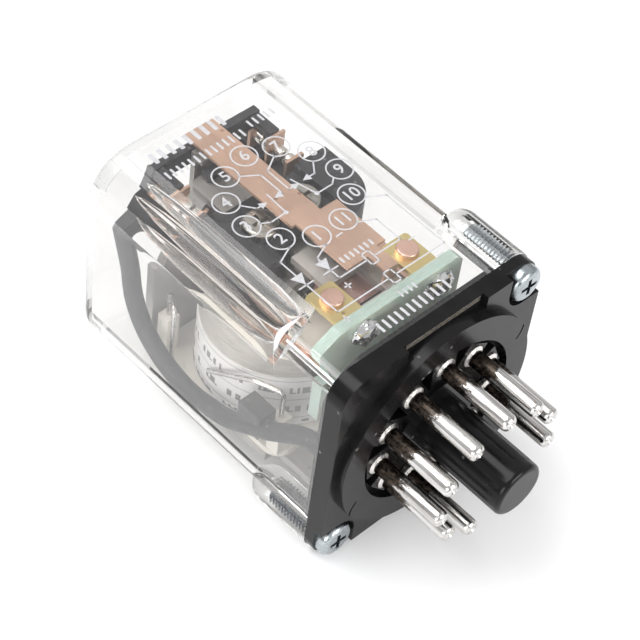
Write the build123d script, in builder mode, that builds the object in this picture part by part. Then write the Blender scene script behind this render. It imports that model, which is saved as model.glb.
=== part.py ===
from build123d import *
import math
import os

# Eleven-pin plug-in latching relay in a clear case, lying on its side.
# +X is the way the pins point, +Z is the printed side of the case, -Y is the coil side.
# The origin is on the plug's axis, in the face that seats on the socket.
# All sizes are millimetres. A pair such as (a, b) gives the two limits of a piece along one axis.

os.makedirs("parts", exist_ok=True)

# ---- case -----------------------------------------------------------------------------------
FLANGE = 34.5                    # square base flange
FLANGE_R = 3.5
FLANGE_FRONT = -1.15             # flange face, behind the seating face
FLANGE_BACK = -3.93              # where the case rim bears
CASE = 34.0                      # outer square of the case
CASE_END = -48.4
WALL = 1.4
CASE_EDGE_R = 6.8                # rounding of the long edges
CASE_RIM_R = 1.0                 # rounding round the far end
SKIRT_R = 2.4                    # the two skirt corners are nearly square
SKIRT_LENGTH = 8.0
SKIRT_RAMP = 2.6
SKIRT_SPAN = 9.0                 # half width of the skirt block across the corner
BOSS_R = 2.95
BOSS_LENGTH = 11.6
SCREW_OFFSET = 14.27             # screw axes, from the plug's axis, in Y and in Z
SCREW_R = 1.25
SCREW_DEPTH = 8.2
SCREW_HEAD_R = 2.55
SCREW_HEAD_H = 1.7
SCREW_POCKET_R = 3.1
SCREW_SEAT = -2.45               # floor of the screw pockets
SCREW_CORNERS = ((1, 1), (-1, -1))
SKIRT_CORNERS = ((-1, 1), (1, -1))
INNER_FACETS = 3                 # flat facets that make each inner corner of the case
RAMP_OVERRUN = 0.4               # the skirt's ramp runs on into the rounded edge
RAMP_DROP = 0.62                 # how far the ramp falls, as a share of the skirt's depth
SCREW_CLEARANCE = 0.6            # screw tip to the bottom of its hole
SCREW_EDGE_R = 0.85
CROSS_ARM, CROSS_HALF = 1.35, 0.3  # half length and half width of a case screw's cross
CROSS_DEPTH = 1.1

# ---- base -----------------------------------------------------------------------------------
DISC_R = 16.2
NOTCH_HALF = 6.8                 # marking notch in the +Z edge of the flange
NOTCH_DEPTH = 0.95
PIN_COUNT = 11
PIN_CIRCLE_R = 9.658
PIN_R = 1.18
PIN_TIP = 10.9
PIN_TAIL = -6.0
PIN_DIMPLE_R = 0.42
COLLAR_R = 1.62
COLLAR_H = 0.5
RECESS_IN, RECESS_OUT = 6.9, 12.4
RECESS_DEPTH = 2.0
BLOCK_TOP = -0.55                # pin blocks stop just under the seating face
BLOCK_W = 4.0
BLOCK_LIMITS = (6.6, 11.5)
POST_R = 3.9
POST_END = 14.3
KEY_W, KEY_H = 1.7, 0.9
KEY_ROOT = 0.6                   # the key rib starts inside the post
PIN_NOSE = 0.6 * PIN_R           # rounding of a pin's tip
PIN_NOSE_ARC = 70
BOSS_GAP = 0.25                  # clearance of the case's screw bosses in the lip
LIP = 1.25                       # height of the lip that centres the case
LIP_HALF, LIP_WALL = 15.45, 0.95

# ---- set magnet -----------------------------------------------------------------------------
COIL_X = -26.5
WINDING_IN, WINDING_R = 5.0, 11.45
COIL_Z = (-12.0, 2.5)
BOBBIN_FLANGE = 1.0
LABEL_T = 0.2
LABEL_Z = (-11.8, -2.4)
CORE_R = 3.6
CORE_TOP = 3.7
YOKE_T = 1.4
YOKE_X = -40.5                   # outer face of the yoke's riser
YOKE_Y = 12.0
YOKE_TOP = 4.6
YOKE_FLOOR = COIL_Z[0] - BOBBIN_FLANGE
YOKE_SHOULDER_TOP = 2.6          # the riser narrows above this height
YOKE_STEP = -16.2                # the floor narrows from here to the base
YOKE_LUG_L, YOKE_LUG_Y, YOKE_LUG_Z = 3.2, 1.6, (-4.4, -3.6)
LOWER_FLANGE, LOWER_FLANGE_R = (24.4, 23.6), 2.5
UPPER_FLANGE, UPPER_FLANGE_R = (24.0, 21.2), 8
TERMINAL_POST_X = 10.9           # from the coil's axis
TERMINAL_POST_HALF = 1.0
TERMINAL_POST_Y, TERMINAL_POST_TOP = (-11.6, -9.6), -5.5
BORE_OVERRUN = 2.0               # a bore's cutter runs past both of its ends
CORE_FOOT, CORE_CHAMFER = 0.5, 0.2

# ---- moving system --------------------------------------------------------------------------
ARMATURE_Z = (5.0, 6.2)
ARMATURE_X = (-40.9, -23.4)
ARMATURE_Y = 8.0
ARM_X = (-44.6, -43.8)
ARM_Y = 2.6
ARM_TOP = 12.9
ARM_BEND_R = 0.7
LIP_L, LIP_Z = 1.3, (11.8, 12.4)   # catch lip on the arm
ARMATURE_TIP_R = 2.0
CARD_T, CARD_Z = 1.2, (10.6, 13.2)
CARD_SIDE = 1.0                  # the card's overhang outside the blades' centres
FINGER_HALF, FINGER_Z, FINGER_GAP = 0.8, (12.0, 13.0), 0.08
BLADE_Y = 8.2                    # centre of each contact column
BLADE_W = 3.0
BLADE_X = (-40.5, -40.1)
BLADE_Z = (7.0, 12.7)
FIXED_BLADE_Z = (7.0, 11.4)
NC_X = (-43.9, -43.4)
NO_X = (-36.9, -36.4)
CONTACT_R = 1.0
CONTACT_Z = 10.2
CONTACT_EDGE_R = 0.35
NC_FACE, MOVING_NC_FACE = -41.95, -41.88
MOVING_NO_FACE, NO_FACE = -38.4, -37.96
LEVER_Z = (8.6, 9.6)
LEVER_X = (-42.9, -24.2)
LEVER_NECK = -35.4
LEVER_HALF, LEVER_NECK_HALF = 4.4, 1.9
LEVER_FLAP_T, LEVER_FLAP_Z = 1.0, 6.75
LEVER_R = 1.2
ROLLER_R, ROLLER_L = 0.95, 5.0
ROLLER_INSET, ROLLER_EDGE_R = 1.15, 0.25

# ---- contact block --------------------------------------------------------------------------
BLOCK_X = (-35.0, -24.0)
BLOCK_Y = 12.0
BLOCK_Z = (6.6, 11.2)
BLOCK_LOBE_Y, BLOCK_LOBE_TOP = 6.6, 12.4
BLOCK_R = 5.5
CHANNEL_HALF, CHANNEL_TOP = 2.2, 10.2
FLAP_ROOM_X, FLAP_ROOM_HALF = -26.2, 4.8
CUT_OVERRUN = 1.0
STRAP_BOSS_X, STRAP_BOSS_HALF = (-28.6, -26.4), 1.6
BLADE_GAP, BLADE_SLOT_Y, BLADE_SLOT_DROP = 0.6, (6.5, 9.9), 0.1
FOOT_X, FOOT_Y = (-33, -27), (8.5, 10.4)
BAR_Z = (6.6, 8.4)
BAR_Y = (6.4, 10.4)
BAR_END = -46.4
BLOCK_SCREW = (-30.2, 3.6)
BLOCK_SCREW_R = 1.1
BLOCK_SCREW_CLEARANCE = 0.6
BLOCK_HEAD_R, BLOCK_HEAD_H, BLOCK_HEAD_EDGE_R = 2.5, 1.3, 0.6
BLOCK_CROSS_ARM, BLOCK_CROSS_HALF = 1.3, 0.28
BLOCK_CROSS_FLOOR = 0.5          # above the seat of the head
STRAP_Z = (13.9, 14.3)
STRAP_TONGUE_X, STRAP_TONGUE_HALF = (-46.4, -26.0), 2.45
STRAP_PLATE_END, STRAP_PLATE_Y = -17.2, (-1.8, 5.3)
STRAP_NECK_END, STRAP_NECK_Y = -16.5, (-1.8, 3.8)
STRAP_LUG_Y = (1.6, 3.8)

# ---- reset magnet ---------------------------------------------------------------------------
RESET_Z = 7.6
RESET_X = (-20.4, -13.4)
RESET_R = 3.2
RESET_FLANGE = 3.35
RESET_LEG = (-12.5, -11.5)
RESET_PLATE_END = -17.3
RESET_YOKE_Z = (11.0, 12.0)
RESET_YOKE_Y = 4.4
RESET_YOKE_START = -23.7
RESET_BRIDGE_Y = 1.2             # the bridge to the leg runs from here to the yoke's edge
RESET_LEG_FOOT = 4.3
RESET_BEND_R = 0.8
RESET_BOBBIN_FLANGE, RESET_TUBE_R = 0.8, 2.0
RESET_CORE_R, RESET_CORE_START = 1.5, -23.3

# ---- board ----------------------------------------------------------------------------------
BOARD_X = (-10.7, -9.1)
BOARD_TOP = 14.9
TAB_Y = 6.45
TAB_Z = (13.1, 13.7)
TAB_W, TONGUE_W = 4.4, 2.6
TAB_X = (-16.9, -8.0)
RIVET_X = -14.4
RIVET_R, RIVET_HOLE_R, RIVET_TAIL_R = 1.5, 0.75, 1.25
RIVET_HEAD_H, RIVET_TAIL_H, RIVET_EDGE_R = 0.75, 0.9, 0.25
TAB_EDGE_R = 0.5
SOLDER_R, SOLDER_DROP = 1.75, 0.5
DIODE_Y, DIODE_Z = (-5.5, 0, 5.5), 2.6
DIODE_R, DIODE_L, DIODE_GAP = 0.8, 3.6, 0.1
# the board's outline in Y and Z, round from its left upper corner
BOARD_OUTLINE = ((-10.0, BOARD_TOP), (-12.8, 13.4), (-12.8, 11.6), (-11.3, 9.0), (-11.3, 0.5),
                 (11.0, 0.5), (11.0, 13.9), (10.0, BOARD_TOP))

# ---- small features -------------------------------------------------------------------------
SLIT_DEPTH, SLIT_W = 0.3, 0.3      # curved slit in the disc
SLIT_POINTS = ((13.1, 5.9), (14.0, 8.0), (13.4, 9.9))
POST_EDGE_R = 0.7
KEY_BACK = 1.6                   # the key stops short of the post's end
LIP_R = 5.25
YOKE_NECK = 10.2
SPRING_PITCH, SPRING_R, SPRING_WIRE, SPRING_H = 1.05, 1.05, 0.36, 8.0
SPRING_X = YOKE_X - 1.9
SPRING_FOOT = YOKE_LUG_Z[1] + SPRING_WIRE / 2
STRAP_END = -13.4
STRIP_Y = (8.4, 10.6)
STRIP_Z = (5.9, 6.6)
STRIP_START = -26.8
STRIP_TURN_T, STRIP_TURN_TOP = 0.6, 8.8
STRIP_RIVETS = (-18.6, -14.4)
STRIP_RIVET_R, STRIP_RIVET_H, STRIP_RIVET_EDGE_R = 0.95, 0.7, 0.2

# ---- lead and bare coil ends ----------------------------------------------------------------
LEAD_D = 2.5
LEAD_POINTS = ((-43.6, -14.0, 8.6), (-41.6, -14.0, 2.4), (-40.6, -14.0, -3.6),
               (-36.4, -14.0, -9.0), (-29.2, -14.0, -11.2), (-21.6, -14.0, -9.4),
               (-14.2, -13.9, -4.6), (-8.8, -12.9, -1.0), (-3.93, -12.9, -1.0))
LEAD_RADII = [12, 12, 12, 12, 12, 12, 7]
CLIP_X, CLIP_Y, CLIP_Z = (-19.4, -15.4), (-14.7, -11.9), (-7.0, -3.0)
TERMINAL_R = 0.36
TERMINAL_BEND = 0.8
TERMINAL_WIRES = {
    "coil_end_left": ((-37.4, -10.6, -5.5), (-37.4, -10.6, -1.2), (-34.6, -12.3, -1.2),
                      (-34.6, -12.3, -11.8)),
    "coil_end_right": ((-15.6, -10.6, -5.5), (-15.6, -10.6, -0.9), (-19.6, -12.25, -0.9),
                       (-27.6, -12.25, -6.6)),
}


def slab(x, y, z, mode=Mode.ADD):
    """Box between two limits along each axis."""
    centre = ((x[0] + x[1]) / 2, (y[0] + y[1]) / 2, (z[0] + z[1]) / 2)
    with Locations(centre):
        Box(x[1] - x[0], y[1] - y[0], z[1] - z[0], mode=mode)


def rod_x(x, y, z, radius, mode=Mode.ADD):
    """Cylinder along X between two limits."""
    with Locations(((x[0] + x[1]) / 2, y, z)):
        Cylinder(radius, x[1] - x[0], rotation=(0, 90, 0), mode=mode)


def rod_z(x, y, z, radius, mode=Mode.ADD):
    """Cylinder along Z between two limits."""
    with Locations((x, y, (z[0] + z[1]) / 2)):
        Cylinder(radius, z[1] - z[0], mode=mode)


def mirrored(limits, side):
    """Limits along Y on one side of the middle plane."""
    return tuple(sorted((limits[0] * side, limits[1] * side)))


def finish(block, name):
    """Name a finished piece and write its STEP file."""
    block.part.label = name
    export_step(block.part, f"parts/{name}.step")


# ============================================================================================
# Clear case
# ============================================================================================
def faceted_square(half, radius, facets):
    """Corners of a square whose rounded corners are made of flat facets."""
    points = []
    for quarter in range(4):
        turn = 90 * quarter
        centre = Vector(half - radius, half - radius).rotate(Axis.Z, turn)
        for step in range(facets + 1):
            angle = math.radians(turn + 90 * step / facets)
            points.append((centre.X + radius * math.cos(angle),
                           centre.Y + radius * math.sin(angle)))
    return points


def skirt_corner(size, radius, length, side):
    """Nearly square corner of the case mouth, ending in a ramp to the rounded edge."""
    across = Vector(0, side[0], side[1]).normalized()
    diagonal = size / math.sqrt(2)
    depth = radius + CASE_EDGE_R
    profile = Plane(origin=(0, 0, 0), x_dir=(1, 0, 0), z_dir=(0, -across.Z, across.Y))
    mouth = FLANGE_BACK
    ramp_end = mouth - length - SKIRT_RAMP - RAMP_OVERRUN
    with BuildPart() as skirt:
        with BuildSketch(profile):
            with BuildLine():
                Polyline(
                    (mouth, diagonal - depth), (mouth, diagonal), (mouth - length, diagonal),
                    (ramp_end, diagonal - RAMP_DROP * depth),
                    (ramp_end, diagonal - depth), close=True)
            make_face()
        extrude(amount=SKIRT_SPAN, both=True)
        with BuildSketch(Plane.YZ.offset(mouth)):
            RectangleRounded(size, size, radius)
        extrude(amount=-2 * length, mode=Mode.INTERSECT)
    return skirt.part


with BuildPart() as clear_case:
    with BuildSketch(Plane.YZ.offset(FLANGE_BACK)):
        RectangleRounded(CASE, CASE, CASE_EDGE_R)
    extrude(amount=CASE_END - FLANGE_BACK)
    fillet(clear_case.faces().sort_by(Axis.X)[0].edges(), CASE_RIM_R)
    for corner in SKIRT_CORNERS:
        add(skirt_corner(CASE, SKIRT_R, SKIRT_LENGTH, corner))
    with BuildSketch(Plane.YZ.offset(FLANGE_BACK)):
        Polygon(*faceted_square(CASE / 2 - WALL, CASE_EDGE_R - WALL, INNER_FACETS), align=None)
    extrude(amount=CASE_END + WALL - FLANGE_BACK, mode=Mode.SUBTRACT)
    for corner in SKIRT_CORNERS:
        add(skirt_corner(CASE - 2 * WALL, SKIRT_R - WALL, SKIRT_LENGTH - WALL / 2, corner),
            mode=Mode.SUBTRACT)
    for side_y, side_z in SCREW_CORNERS:
        y, z = side_y * SCREW_OFFSET, side_z * SCREW_OFFSET
        rod_x((FLANGE_BACK - BOSS_LENGTH + BOSS_R, FLANGE_BACK), y, z, BOSS_R)
        with Locations((FLANGE_BACK - BOSS_LENGTH + BOSS_R, y, z)):
            Sphere(BOSS_R)
        rod_x((FLANGE_BACK - SCREW_DEPTH, FLANGE_BACK), y, z, SCREW_R, mode=Mode.SUBTRACT)
finish(clear_case, "clear_case")

# ============================================================================================
# Base, pins and case screws
# ============================================================================================
PIN_ANGLES = [90 - 360 / PIN_COUNT * k for k in range(PIN_COUNT)]
PIN_PLACES = [(PIN_CIRCLE_R * math.cos(math.radians(a)), PIN_CIRCLE_R * math.sin(math.radians(a)))
              for a in PIN_ANGLES]


with BuildPart() as base_plate:
    with BuildSketch(Plane.YZ.offset(FLANGE_BACK)):
        RectangleRounded(FLANGE, FLANGE, FLANGE_R)
    extrude(amount=FLANGE_FRONT - FLANGE_BACK)
    slab((FLANGE_FRONT - NOTCH_DEPTH, FLANGE_FRONT), (-NOTCH_HALF, NOTCH_HALF),
         (DISC_R - 1, FLANGE), mode=Mode.SUBTRACT)
    rod_x((FLANGE_FRONT - NOTCH_DEPTH, 0), 0, 0, DISC_R)
    for side_y, side_z in SCREW_CORNERS:
        y, z = side_y * SCREW_OFFSET, side_z * SCREW_OFFSET
        rod_x((SCREW_SEAT, 0), y, z, SCREW_POCKET_R, mode=Mode.SUBTRACT)
        # the pocket is open towards the corner, where too little plastic would be left
        slab((SCREW_SEAT, 0), mirrored((SCREW_OFFSET, FLANGE), side_y),
             mirrored((SCREW_OFFSET - SCREW_POCKET_R, FLANGE), side_z), mode=Mode.SUBTRACT)
        slab((SCREW_SEAT, 0), mirrored((SCREW_OFFSET - SCREW_POCKET_R, FLANGE), side_y),
             mirrored((SCREW_OFFSET, FLANGE), side_z), mode=Mode.SUBTRACT)
        rod_x((FLANGE_BACK, SCREW_SEAT), y, z, SCREW_R, mode=Mode.SUBTRACT)
    # ring recess with one block round each pin
    with BuildSketch(Plane.YZ.offset(-RECESS_DEPTH)):
        Circle(RECESS_OUT)
        Circle(RECESS_IN, mode=Mode.SUBTRACT)
    extrude(amount=RECESS_DEPTH, mode=Mode.SUBTRACT)
    with BuildSketch(Plane.YZ.offset(-RECESS_DEPTH)):
        for angle in PIN_ANGLES:
            with PolarLocations(sum(BLOCK_LIMITS) / 2, 1, start_angle=angle):
                Rectangle(BLOCK_LIMITS[1] - BLOCK_LIMITS[0], BLOCK_W)
    extrude(amount=RECESS_DEPTH + BLOCK_TOP)
    # slit in the disc face beside each screw corner
    with BuildSketch(Plane.YZ.offset(-SLIT_DEPTH)):
        for side in (1, -1):
            with BuildLine():
                ThreePointArc(*[(side * y, side * z) for y, z in SLIT_POINTS])
            trace(line_width=SLIT_W)
    extrude(amount=SLIT_DEPTH, mode=Mode.SUBTRACT)
    # centre post with its key rib on the -Z side
    rod_x((-RECESS_DEPTH, POST_END), 0, 0, POST_R)
    post_end = base_plate.faces().filter_by(Plane.YZ).sort_by(Axis.X)[-1]
    fillet(post_end.edges(), POST_EDGE_R)
    slab((-RECESS_DEPTH / 2, POST_END - KEY_BACK), (-KEY_W / 2, KEY_W / 2),
         (-POST_R - KEY_H, -POST_R + KEY_ROOT))
    # lip that centres the case, open round the two screw bosses
    with BuildSketch(Plane.YZ.offset(FLANGE_BACK)):
        RectangleRounded(2 * LIP_HALF, 2 * LIP_HALF, LIP_R)
        RectangleRounded(2 * (LIP_HALF - LIP_WALL), 2 * (LIP_HALF - LIP_WALL),
                         LIP_R - LIP_WALL, mode=Mode.SUBTRACT)
        with Locations(*[(y * SCREW_OFFSET, z * SCREW_OFFSET) for y, z in SCREW_CORNERS]):
            Circle(BOSS_R + BOSS_GAP, mode=Mode.SUBTRACT)
    extrude(amount=-LIP)
    # pin holes
    for y, z in PIN_PLACES:
        rod_x((FLANGE_BACK - CUT_OVERRUN, CUT_OVERRUN), y, z, PIN_R, mode=Mode.SUBTRACT)
finish(base_plate, "base_plate")


with BuildPart() as plug_pins:
    for y, z in PIN_PLACES:
        with BuildSketch(Plane(origin=(0, y, z), x_dir=(1, 0, 0), z_dir=(0, -1, 0))):
            with BuildLine():
                Polyline((PIN_TAIL, 0), (PIN_TAIL, PIN_R), (BLOCK_TOP, PIN_R),
                         (BLOCK_TOP, COLLAR_R), (BLOCK_TOP + COLLAR_H / 2, COLLAR_R),
                         (BLOCK_TOP + COLLAR_H, PIN_R), (PIN_TIP - PIN_NOSE, PIN_R))
                JernArc((PIN_TIP - PIN_NOSE, PIN_R), (1, 0), PIN_NOSE, -PIN_NOSE_ARC)
                end = (PIN_TIP - PIN_NOSE * (1 - math.sin(math.radians(PIN_NOSE_ARC))),
                       PIN_R - PIN_NOSE * (1 - math.cos(math.radians(PIN_NOSE_ARC))))
                Polyline(end, (PIN_TIP, PIN_DIMPLE_R), (PIN_TIP - PIN_DIMPLE_R, 0), (PIN_TAIL, 0))
            make_face()
        revolve(axis=Axis((0, y, z), (1, 0, 0)))
finish(plug_pins, "plug_pins")

with BuildPart() as case_screws:
    for side_y, side_z in SCREW_CORNERS:
        y, z = side_y * SCREW_OFFSET, side_z * SCREW_OFFSET
        rod_x((FLANGE_BACK - SCREW_DEPTH + SCREW_CLEARANCE, SCREW_SEAT), y, z, SCREW_R)
        rod_x((SCREW_SEAT, SCREW_SEAT + SCREW_HEAD_H), y, z, SCREW_HEAD_R)
    heads = case_screws.faces().filter_by(Plane.YZ).group_by(Axis.X)[-1]
    fillet(heads.edges(), SCREW_EDGE_R)
    cross = (SCREW_SEAT + SCREW_HEAD_H - CROSS_DEPTH, SCREW_SEAT + SCREW_HEAD_H + CUT_OVERRUN)
    for side_y, side_z in SCREW_CORNERS:
        y, z = side_y * SCREW_OFFSET, side_z * SCREW_OFFSET
        for half_y, half_z in ((CROSS_ARM, CROSS_HALF), (CROSS_HALF, CROSS_ARM)):
            slab(cross, (y - half_y, y + half_y), (z - half_z, z + half_z), mode=Mode.SUBTRACT)
finish(case_screws, "case_screws")

# ============================================================================================
# Set magnet: the large coil with its axis along Z
# ============================================================================================
with BuildPart() as set_bobbin:
    rod_z(COIL_X, 0, (COIL_Z[0] - BOBBIN_FLANGE, COIL_Z[1] + BOBBIN_FLANGE), WINDING_IN)
    with BuildSketch(Plane.XY.offset(COIL_Z[0] - BOBBIN_FLANGE)):
        with Locations((COIL_X, 0)):
            RectangleRounded(*LOWER_FLANGE, LOWER_FLANGE_R)
    extrude(amount=BOBBIN_FLANGE)
    with BuildSketch(Plane.XY.offset(COIL_Z[1])):
        with Locations((COIL_X, 0)):
            RectangleRounded(*UPPER_FLANGE, UPPER_FLANGE_R)
    extrude(amount=BOBBIN_FLANGE)
    rod_z(COIL_X, 0, (COIL_Z[0] - BORE_OVERRUN, COIL_Z[1] + BORE_OVERRUN), CORE_R,
          mode=Mode.SUBTRACT)
    # two posts that carry the ends of the winding
    for end in (-1, 1):
        post_x = COIL_X + end * TERMINAL_POST_X
        slab((post_x - TERMINAL_POST_HALF, post_x + TERMINAL_POST_HALF), TERMINAL_POST_Y,
             (COIL_Z[0], TERMINAL_POST_TOP))
finish(set_bobbin, "set_bobbin")

with BuildPart() as set_winding:
    rod_z(COIL_X, 0, COIL_Z, WINDING_R)
    rod_z(COIL_X, 0, COIL_Z, WINDING_IN, mode=Mode.SUBTRACT)
finish(set_winding, "set_winding")

with BuildPart() as set_label:
    rod_z(COIL_X, 0, LABEL_Z, WINDING_R + LABEL_T)
    rod_z(COIL_X, 0, LABEL_Z, WINDING_R, mode=Mode.SUBTRACT)
finish(set_label, "set_label")

with BuildPart() as set_core:
    rod_z(COIL_X, 0, (YOKE_FLOOR - YOKE_T - CORE_FOOT, CORE_TOP), CORE_R)
    chamfer(set_core.faces().filter_by(Plane.XY).edges(), CORE_CHAMFER)
finish(set_core, "set_core")

with BuildPart() as set_yoke:
    floor_z = (YOKE_FLOOR - YOKE_T, YOKE_FLOOR)
    slab((YOKE_X, YOKE_STEP), (-YOKE_Y, YOKE_Y), floor_z)
    slab((YOKE_STEP, FLANGE_BACK), (-YOKE_NECK, YOKE_NECK), floor_z)
    slab((YOKE_X, YOKE_X + YOKE_T), (-YOKE_Y, YOKE_Y), (floor_z[0], YOKE_SHOULDER_TOP))
    slab((YOKE_X, YOKE_X + YOKE_T), (-ARMATURE_Y, ARMATURE_Y), (floor_z[0], YOKE_TOP))
    fillet(set_yoke.edges().filter_by(Axis.Y).group_by(Axis.X)[0].sort_by(Axis.Z)[0], YOKE_T)
    rod_z(COIL_X, 0, (floor_z[0] - CUT_OVERRUN, floor_z[1] + CUT_OVERRUN), CORE_R,
          mode=Mode.SUBTRACT)
    # lug for the return spring
    slab((YOKE_X - YOKE_LUG_L, YOKE_X), (-YOKE_LUG_Y, YOKE_LUG_Y), YOKE_LUG_Z)
finish(set_yoke, "set_yoke")

# ============================================================================================
# Set armature with its arm and card (turns about the top of the yoke)
# ============================================================================================
with BuildPart() as set_armature:
    slab(ARMATURE_X, (-ARMATURE_Y, ARMATURE_Y), ARMATURE_Z)
    slab((ARM_X[0], ARMATURE_X[0]), (-ARM_Y, ARM_Y), ARMATURE_Z)
    slab(ARM_X, (-ARM_Y, ARM_Y), (ARMATURE_Z[0], ARM_TOP))
    fillet(set_armature.edges().filter_by(Axis.Y).group_by(Axis.X)[0].sort_by(Axis.Z)[0],
           ARM_BEND_R)
    slab((ARM_X[1], ARM_X[1] + LIP_L), (-ARM_Y, ARM_Y), LIP_Z)
    corners = set_armature.edges().filter_by(Axis.Z).group_by(Axis.X)[-1]
    fillet(corners, ARMATURE_TIP_R)
finish(set_armature, "set_armature")

with BuildPart() as pusher_card:
    card_y = BLADE_Y + CARD_SIDE
    slab((ARM_X[0] - CARD_T, ARM_X[0]), (-card_y, card_y), CARD_Z)
    for side in (1, -1):
        slab((ARM_X[0], BLADE_X[0] - FINGER_GAP),
             mirrored((BLADE_Y - FINGER_HALF, BLADE_Y + FINGER_HALF), side), FINGER_Z)
finish(pusher_card, "pusher_card")

with BuildPart() as return_spring:
    with BuildLine():
        Helix(pitch=SPRING_PITCH, height=SPRING_H, radius=SPRING_R,
              center=(SPRING_X, 0, SPRING_FOOT))
    with BuildSketch(Plane(origin=(SPRING_X + SPRING_R, 0, SPRING_FOOT),
                           x_dir=(1, 0, 0), z_dir=(0, 1, 0))):
        Circle(SPRING_WIRE / 2)
    sweep(is_frenet=True)
finish(return_spring, "return_spring")

# ============================================================================================
# Contact block, screws and contacts
# ============================================================================================
with BuildPart() as contact_block:
    block_x = (BLOCK_X[0] + BLOCK_X[1]) / 2
    block_l = BLOCK_X[1] - BLOCK_X[0]
    with BuildSketch(Plane.XY.offset(BLOCK_Z[0])):
        with Locations((block_x, 0)):
            Rectangle(block_l, 2 * BLOCK_Y)
    extrude(amount=BLOCK_Z[1] - BLOCK_Z[0])
    for side in (1, -1):
        slab(BLOCK_X, mirrored((BLOCK_LOBE_Y, BLOCK_Y), side), (BLOCK_Z[1], BLOCK_LOBE_TOP))
    fillet(contact_block.edges().filter_by(Axis.Z).group_by(Axis.X)[-1].group_by(Axis.Y)[0],
           BLOCK_R)
    fillet(contact_block.edges().filter_by(Axis.Z).group_by(Axis.X)[-1].group_by(Axis.Y)[-1],
           BLOCK_R)
    # channel for the lever, its flap, and the spring strap's boss
    slab((BLOCK_X[0] - CUT_OVERRUN, BLOCK_X[1] + CUT_OVERRUN), (-CHANNEL_HALF, CHANNEL_HALF),
         (BLOCK_Z[0] - CUT_OVERRUN, CHANNEL_TOP), mode=Mode.SUBTRACT)
    slab((FLAP_ROOM_X, BLOCK_X[1] + CUT_OVERRUN), (-FLAP_ROOM_HALF, FLAP_ROOM_HALF),
         (BLOCK_Z[0] - CUT_OVERRUN, BLOCK_LOBE_TOP), mode=Mode.SUBTRACT)
    slab(STRAP_BOSS_X, (-STRAP_BOSS_HALF, STRAP_BOSS_HALF), (BLOCK_Z[1], STRAP_Z[0]))
    for side in (1, -1):
        slab((BAR_END, BLOCK_X[0]), mirrored(BAR_Y, side), BAR_Z)
        for blade in (NC_X, NO_X):
            slab(blade, mirrored((BLADE_Y - BLADE_W / 2, BLADE_Y + BLADE_W / 2), side),
                 (FIXED_BLADE_Z[0], BAR_Z[1]), mode=Mode.SUBTRACT)
        slab((BLADE_X[0] - BLADE_GAP, BLADE_X[1] + BLADE_GAP), mirrored(BLADE_SLOT_Y, side),
             (BLADE_Z[0] - BLADE_SLOT_DROP, BAR_Z[1]), mode=Mode.SUBTRACT)
        # foot on the coil's top flange
        slab(FOOT_X, mirrored(FOOT_Y, side), (COIL_Z[1] + BOBBIN_FLANGE, BLOCK_Z[0]))
        rod_z(BLOCK_SCREW[0], side * BLOCK_SCREW[1], (BLOCK_Z[0], BLOCK_Z[1]), BLOCK_SCREW_R,
              mode=Mode.SUBTRACT)
finish(contact_block, "contact_block")

with BuildPart() as block_screws:
    for side in (1, -1):
        x, y = BLOCK_SCREW[0], side * BLOCK_SCREW[1]
        rod_z(x, y, (BLOCK_Z[0] + BLOCK_SCREW_CLEARANCE, BLOCK_Z[1]), BLOCK_SCREW_R)
        rod_z(x, y, (BLOCK_Z[1], BLOCK_Z[1] + BLOCK_HEAD_H), BLOCK_HEAD_R)
    fillet(block_screws.faces().filter_by(Plane.XY).group_by(Axis.Z)[-1].edges(),
           BLOCK_HEAD_EDGE_R)
    cross = (BLOCK_Z[1] + BLOCK_CROSS_FLOOR, BLOCK_Z[1] + BLOCK_HEAD_H + CUT_OVERRUN)
    for side in (1, -1):
        x, y = BLOCK_SCREW[0], side * BLOCK_SCREW[1]
        for half_x, half_y in ((BLOCK_CROSS_ARM, BLOCK_CROSS_HALF),
                               (BLOCK_CROSS_HALF, BLOCK_CROSS_ARM)):
            slab((x - half_x, x + half_x), (y - half_y, y + half_y), cross, mode=Mode.SUBTRACT)
finish(block_screws, "block_screws")

with BuildPart() as fixed_blades:
    for side in (1, -1):
        for blade in (NC_X, NO_X):
            slab(blade, mirrored((BLADE_Y - BLADE_W / 2, BLADE_Y + BLADE_W / 2), side),
                 FIXED_BLADE_Z)
finish(fixed_blades, "fixed_blades")

with BuildPart() as fixed_contacts:
    for side in (1, -1):
        rod_x((NC_X[1], NC_FACE), side * BLADE_Y, CONTACT_Z, CONTACT_R)
        rod_x((NO_FACE, NO_X[0]), side * BLADE_Y, CONTACT_Z, CONTACT_R)
    faces = fixed_contacts.faces().filter_by(Plane.YZ)
    fillet(faces.group_by(Axis.X)[1].edges() + faces.group_by(Axis.X)[2].edges(),
           CONTACT_EDGE_R)
finish(fixed_contacts, "fixed_contacts")

for side, word in ((1, "right"), (-1, "left")):
    with BuildPart() as moving_blade:
        slab(BLADE_X, mirrored((BLADE_Y - BLADE_W / 2, BLADE_Y + BLADE_W / 2), side), BLADE_Z)
    finish(moving_blade, f"moving_blade_{word}")
    with BuildPart() as moving_contact:
        rod_x((MOVING_NC_FACE, BLADE_X[0]), side * BLADE_Y, CONTACT_Z, CONTACT_R)
        rod_x((BLADE_X[1], MOVING_NO_FACE), side * BLADE_Y, CONTACT_Z, CONTACT_R)
        faces = moving_contact.faces().filter_by(Plane.YZ)
        fillet(faces.group_by(Axis.X)[0].edges() + faces.group_by(Axis.X)[-1].edges(),
               CONTACT_EDGE_R)
    finish(moving_contact, f"moving_contacts_{word}")

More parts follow.
